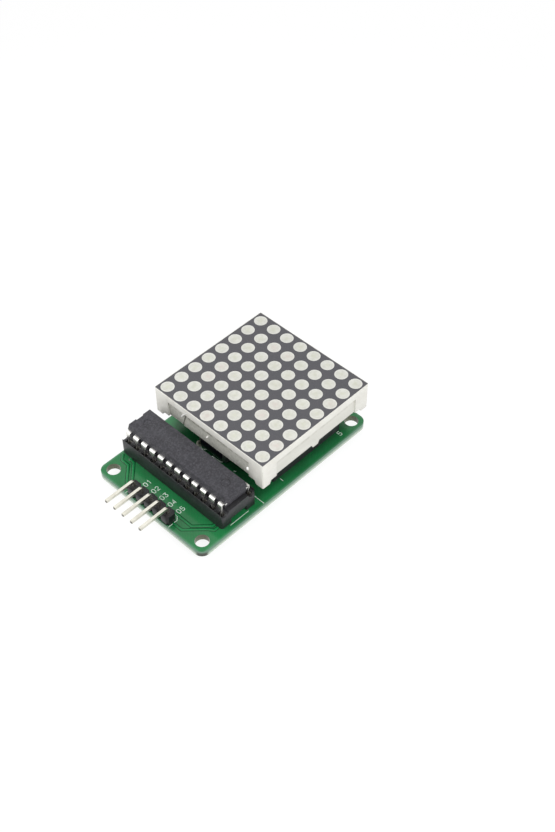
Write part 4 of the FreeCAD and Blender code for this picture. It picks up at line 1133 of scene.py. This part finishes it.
@dataclass
class CircuitBoard:
    """The board's finish, its printed marks, its copper and its plated holes."""

    top: float = 1.6
    ink_height: float = 0.02
    ink_width: float = 0.15
    bold_factor: float = 1.6
    copper_height: float = 0.03
    track_width: float = 0.46
    bed_height: float = 0.006
    bed_width: float = 0.84
    pad_radius: float = 0.98
    hole_radius: float = 0.5
    pad_lip: float = 0.04
    pad_slope: float = 0.06
    pitch: float = 2.54
    header_at: Pair = (-23.6, 0.4)
    spare_x: float = 23.6
    header_holes: int = 5
    chip_at: Pair = (-13.0, 0.7)
    chip_row: float = 3.81
    chip_holes: int = 12
    matrix_x: float = 8.5
    matrix_row: float = 12.0
    matrix_holes: int = 8
    lead_inset: float = 0.85
    label_x: float = -21.0
    label_drop: float = 0.5
    label_size: float = 1.08
    number_at: Pair = (17.6, -14.7)
    number_size: float = 1.15
    digit_width: float = 0.62
    digit_step: float = 0.95
    arc_at: Pair = (-4.7, 4.3)
    arc_radii: Pair = (0.95, 1.0)
    arc_half_turn: float = 1.2
    arc_steps: int = 13

    def build(self) -> None:
        """Builds the thin layers and dresses the board and its solder."""
        dress(MASK, "board")
        dress(SOLDER, *[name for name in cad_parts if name.startswith("solder_")])
        self.copper_lines()
        self.marks()
        self.rings()

    def copper_lines(self) -> None:
        """Tracks that stand up a little, each in a darker bed where the copper is cut away."""
        tracks = (
            [(-18.4, 15.3), (-19.6, 14.1), (-19.6, 12.2), (-22.9, 8.9), (-22.9, 6.4)],
            [(-16.4, 13.8), (-18.3, 13.0), (-18.3, 11.9), (-21.7, 8.5), (-23.4, 6.6)],
            [(-21.5, -3.6), (-21.5, -9.3), (-18.4, -12.4), (-15.4, -12.4)],
            [(-23.5, -5.4), (-23.5, -8.5), (-19.7, -12.3), (-18.9, -13.4), (-15.4, -13.4)])
        beds, lines = Surface(), Surface()
        for path in tracks:
            beds.add(ribbon(np.array(path), self.bed_width, self.bed_height, self.top))
            lines.add(ribbon(np.array(path), self.track_width, self.copper_height, self.top))
        beds.build("track_beds", GAP, "circuit_board")
        lines.build("tracks", TRACK, "circuit_board")

    def digits(self, text: str, start: Pair, size: float) -> list[Points]:
        """Strokes of plain drafting numerals, each a path in a box one wide and one high.

        Args:
            text: The numerals.
            start: Lower left corner of the first one.
            size: Height of a numeral, of which its width and step are shares.

        Returns:
            The paths on the board.
        """
        strokes = {
            "0": [(0, .25), (.25, 0), (.75, 0), (1, .25), (1, .75), (.75, 1), (.25, 1),
                  (0, .75), (0, .25)],
            "1": [(.2, .75), (.55, 1), (.55, 0)],
            "2": [(0, .8), (.25, 1), (.75, 1), (1, .8), (1, .6), (0, 0), (1, 0)],
            "3": [(0, 1), (1, 1), (.5, .6), (.8, .55), (1, .35), (1, .2), (.75, 0), (.25, 0),
                  (0, .2)],
            "4": [(.75, 0), (.75, 1), (0, .3), (1, .3)],
            "5": [(1, 1), (.1, 1), (.05, .55), (.7, .6), (1, .4), (1, .2), (.75, 0), (.25, 0),
                  (0, .2)]}
        step = np.array([size * self.digit_step, 0.0])
        scale = np.array([size * self.digit_width, size])
        return [np.array(strokes[mark]) * scale + start + step * k
                for k, mark in enumerate(text)]

    def marks(self) -> bpy.types.Object:
        """White printed lines, bent lines and numerals, all as low ribbons.

        The arc's points are its middle less radius * cos a along X, plus radius * sin a
        along Y.

        Returns:
            The print, as one piece.
        """
        turn = np.linspace(-self.arc_half_turn, self.arc_half_turn, self.arc_steps)
        arc = np.stack([-np.cos(turn), np.sin(turn)], axis=1) * self.arc_radii + self.arc_at
        bold = [arc, [(-5.6, 1.2), (-5.45, -1.4), (-5.05, -1.65)], [(-5.3, -5.1), (-5.05, -5.6)]]
        fine = [[(-24.9, -6.1), (-22.5, -6.1), (-21.7, -5.3), (-21.7, 6.1), (-22.5, 6.9),
                 (-24.9, 6.9)],
                [(-15.84, -14.86), (-10.67, -14.86)],
                [(-7.08, -12.96), (-7.08, -15.8)],
                [(-0.04, -13.55), (-0.04, -14.5)]]
        for k, y in enumerate(self.row(self.header_holes)[::-1], start=1):
            label = (self.label_x, self.header_at[1] + y - self.label_drop)
            fine += self.digits(f"0{k}", label, self.label_size)
        fine += self.digits("5", self.number_at, self.number_size)
        surface = Surface()
        for paths, width in ((fine, self.ink_width), (bold, self.bold_factor * self.ink_width)):
            for path in paths:
                surface.add(ribbon(np.array(path), width, self.ink_height, self.top))
        return surface.build("board_print", INK, "circuit_board")

    def row(self, count: int) -> Points:
        """Places of so many holes in a row about 0."""
        return (np.arange(count) - (count - 1) / 2) * self.pitch

    def holes(self) -> list[Pair]:
        """Places of all plated holes, from the rows' pitches and the joints' own boxes.

        Returns:
            The x and y of each hole.
        """
        places = [(x, self.header_at[1] + y) for x in (self.header_at[0], self.spare_x)
                  for y in self.row(self.header_holes)]
        places += [(self.chip_at[0] + side * self.chip_row, self.chip_at[1] + y)
                   for side in (-1, 1) for y in self.row(self.chip_holes)]
        places += [(self.matrix_x + x, side * self.matrix_row)
                   for side in (-1, 1) for x in self.row(self.matrix_holes)]
        for name in ("smoothing_capacitor", "resistor", "ceramic_capacitor"):
            for corner, way in zip(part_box(f"solder_{name}"), (1, -1)):
                inset = way * self.lead_inset
                places.append((corner.x / MM + inset, corner.y / MM + inset))
        return places

    def rings(self) -> bpy.types.Object:
        """Plated rings on both faces: a flat section with a rounded outer lip, turned.

        Returns:
            The rings, as one piece.
        """
        surface = Surface()
        section = np.array([(self.hole_radius, 0.0), (self.hole_radius, self.pad_lip),
                            (self.pad_radius - self.pad_slope, self.pad_lip),
                            (self.pad_radius, self.pad_lip * 0.4), (self.pad_radius, 0.0)])
        for x, y in self.holes():
            for height, way in ((self.top, 1.0), (0.0, -1.0)):
                axis = np.array([0.0, 0.0, way])
                grid = turned(section, np.array([x, y, height]), axis, steps=24)
                surface.add(grid, wrap_rows=True)
        return surface.build("plated_rings", PLATING, "solder")


@dataclass
class Driver:
    """The driver chip, its socket and the contacts in it."""

    chip_rounding: float = 0.08
    socket_rounding: float = 0.06

    def build(self) -> None:
        """Dresses the chip, its leads, the socket and the contacts."""
        soften("chip_body", CHIP, self.chip_rounding)
        soften("socket_frame", BLACK, self.socket_rounding)
        dress(SHEET, "chip_leads_near", "chip_leads_far")
        dress(SPRING, "socket_contacts_near", "socket_contacts_far")


@dataclass
class Connectors:
    """The header with its bent pins and the two strips that carry the matrix."""

    pins: int = 5
    rounding: float = 0.06

    def build(self) -> None:
        """Dresses the header and the strips."""
        soften("header_strip", HEADER, self.rounding)
        dress(PIN, *[f"header_pin_{number}" for number in range(1, self.pins + 1)])
        dress(BLACK, "socket_strip_right", "socket_strip_left")
        dress(SPRING, "strip_contacts_right", "strip_contacts_left")


class SmallParts:
    """The passive parts under the matrix."""

    def build(self) -> None:
        """Dresses the capacitors, the resistor and their wires."""
        dress(CAN, "capacitor_can")
        dress(SLEEVE, "capacitor_sleeve")
        dress(BUNG, "capacitor_bung")
        dress(RESISTOR, "resistor_body")
        dress(CERAMIC, "ceramic_capacitor")
        dress(SHADED_WIRE, "capacitor_lead_1", "capacitor_lead_2", "resistor_lead_1",
              "resistor_lead_2", "ceramic_capacitor_leads")


# Camera, lights and floor


@dataclass
class Studio:
    """The camera where the photograph was taken, soft light and a white floor.

    Args:
        eye: Where the camera stands.
        right: The camera's own X axis.
        down: The camera's downward axis.
        lens: Focal length for a 36 mm long side.
        shift: Where the optical axis meets the picture, off its middle, in long sides.
        aim: Point that the near lamps face.
        floor: Height of the floor.
        floor_reach: Half its side, in metres.
        floor_shade: Linear grey of its matt share, which takes the shadow.
        floor_glow: Level of its white share.
        floor_share: The white share where the floor is seen.
        sky: Level of the light from all round.
    """

    eye: Way = (-117.333, -126.983, 199.390)
    right: Way = (0.693996, -0.719971, -0.003398)
    down: Way = (-0.533083, -0.510667, -0.674568)
    lens: float = 52.9
    shift: Pair = (-0.0006, 0.0006)
    aim: Way = (0.0, 0.0, 8.0)
    floor: float = -1.41
    floor_reach: float = 3.0
    floor_shade: float = 0.85
    floor_glow: float = 1.1
    floor_share: float = 0.8
    sky: float = 0.62

    def build(self) -> None:
        """Places everything that isn't part of the module."""
        self.camera()
        self.world()
        self.panel("key_light", (-0.10, -0.72, 0.66), reach=150.0, side=80.0, strength=1.22)
        self.panel("side_light", (-0.76, 0.46, 0.46), reach=130.0, side=80.0, strength=0.52)
        self.panel("back_light", (-0.28, 0.86, 0.40), reach=140.0, side=80.0, strength=0.80)
        self.lamp("top_light", (0.35, 0.30, 0.90), strength=0.10, spread=40.0)
        self.ground()
        bpy.context.scene.view_settings.view_transform = "Standard"

    def camera(self) -> None:
        """Stands the camera at the eye with its three axes."""
        data = bpy.data.cameras.new("camera")
        data.lens = self.lens
        data.shift_x, data.shift_y = self.shift
        data.sensor_width = 36.0
        data.clip_start, data.clip_end = 0.005, 20.0
        camera = stand("camera", data)
        side, up = Vector(self.right), -Vector(self.down)
        turn = Matrix((side, up, side.cross(up))).transposed().to_4x4()
        camera.matrix_world = Matrix.Translation(Vector(self.eye) * MM) @ turn
        bpy.context.scene.camera = camera

    def hang(self, data: bpy.types.Light, way: Way, reach: float = 0.0) -> None:
        """Adds a lamp that faces the aim.

        Args:
            data: The lamp's light.
            way: Direction from the aim to the lamp.
            reach: How far away it stands, in millimetres; a distant lamp needs none.
        """
        lamp = stand(data.name, data)
        direction = Vector(way).normalized()
        lamp.location = (Vector(self.aim) + direction * reach) * MM
        lamp.rotation_euler = direction.to_track_quat("Z", "Y").to_euler()

    def lamp(self, name: str, way: Way, strength: float, spread: float) -> None:
        """Adds one soft distant lamp.

        Args:
            name: Its name.
            way: Direction from the aim to the lamp.
            strength: Its strength in watts to the square metre.
            spread: Its width in the sky, in degrees.
        """
        data = bpy.data.lights.new(name, "SUN")
        data.energy = strength
        data.angle = math.radians(spread)
        self.hang(data, way)

    def panel(self, name: str, way: Way, reach: float, side: float, strength: float) -> None:
        """Adds one square lamp that stands near the module, so its light falls off across it.

        The power is strength * pi * reach ** 2, which lights the aim as a distant lamp of
        that strength would.

        Args:
            name: Its name.
            way: Direction from the aim to the lamp.
            reach: How far away it stands, in millimetres.
            side: Length of its side in millimetres.
            strength: Watts to the square metre at the aim.
        """
        data = bpy.data.lights.new(name, "AREA")
        data.shape = "SQUARE"
        data.size = side * MM
        data.energy = strength * math.pi * (reach * MM) ** 2
        self.hang(data, way, reach)

    @staticmethod
    def seen(graph: Graph) -> Socket:
        """1 for rays from the camera, mirrors and glass, which see the white background.

        Args:
            graph: The graph of the floor's material or of the world.

        Returns:
            The mask.
        """
        path = graph.node("ShaderNodeLightPath").outputs
        both = graph.math("MAXIMUM", path["Is Camera Ray"], path["Is Glossy Ray"])
        return graph.math("MAXIMUM", both, path["Is Transmission Ray"])

    def world(self) -> None:
        """Plain white background, with a softer one for the light that it gives."""
        world = bpy.data.worlds.new("studio")
        world.use_nodes = True
        bpy.context.scene.world = world
        graph = Graph(world.node_tree)
        soft = world.node_tree.nodes["Background"]
        soft.inputs["Color"].default_value = WHITE
        soft.inputs["Strength"].default_value = self.sky
        plain = graph.node("ShaderNodeBackground", {0: WHITE, 1: 1.0}).outputs[0]
        both = graph.node("ShaderNodeMixShader",
                          {0: self.seen(graph), 1: soft.outputs[0], 2: plain})
        graph.feed(world.node_tree.nodes["World Output"].inputs[0], both.outputs[0])

    def ground(self) -> None:
        """White floor that keeps a faint shadow of the module."""
        mesh = bpy.data.meshes.new("floor")
        reach, level = self.floor_reach, self.floor * MM
        corners = [(-reach, -reach, level), (reach, -reach, level), (reach, reach, level),
                   (-reach, reach, level)]
        mesh.from_pydata(corners, [], [(0, 1, 2, 3)])
        floor = stand("floor", mesh)
        made = bpy.data.materials.new("floor_white")
        made.use_nodes = True
        nodes = made.node_tree.nodes
        nodes.remove(nodes["Principled BSDF"])
        graph = Graph(made.node_tree)
        matt = graph.node("ShaderNodeBsdfDiffuse", {0: (self.floor_shade,) * 3 + (1,)}).outputs[0]
        glow = graph.node("ShaderNodeEmission", {0: WHITE, 1: self.floor_glow}).outputs[0]
        share = graph.times(self.seen(graph), self.floor_share)
        both = graph.node("ShaderNodeMixShader", {0: share, 1: matt, 2: glow})
        graph.feed(nodes["Material Output"].inputs[0], both.outputs[0])
        mesh.materials.append(made)


def plain(box: tuple[Vector, Vector]) -> list[list[float]]:
    """A box's two corners as lists of numbers."""
    return [list(corner) for corner in box]


def main() -> None:
    """Builds the module's looks in order and reports each piece."""
    logging.basicConfig(level=logging.INFO, format="%(message)s")
    for part in (CircuitBoard(), DotMatrix(), Driver(), Connectors(), SmallParts(), Studio()):
        part.build()
        LOG.info("%s is done", type(part).__name__)
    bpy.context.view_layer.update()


if __name__ == "__main__":
    main()
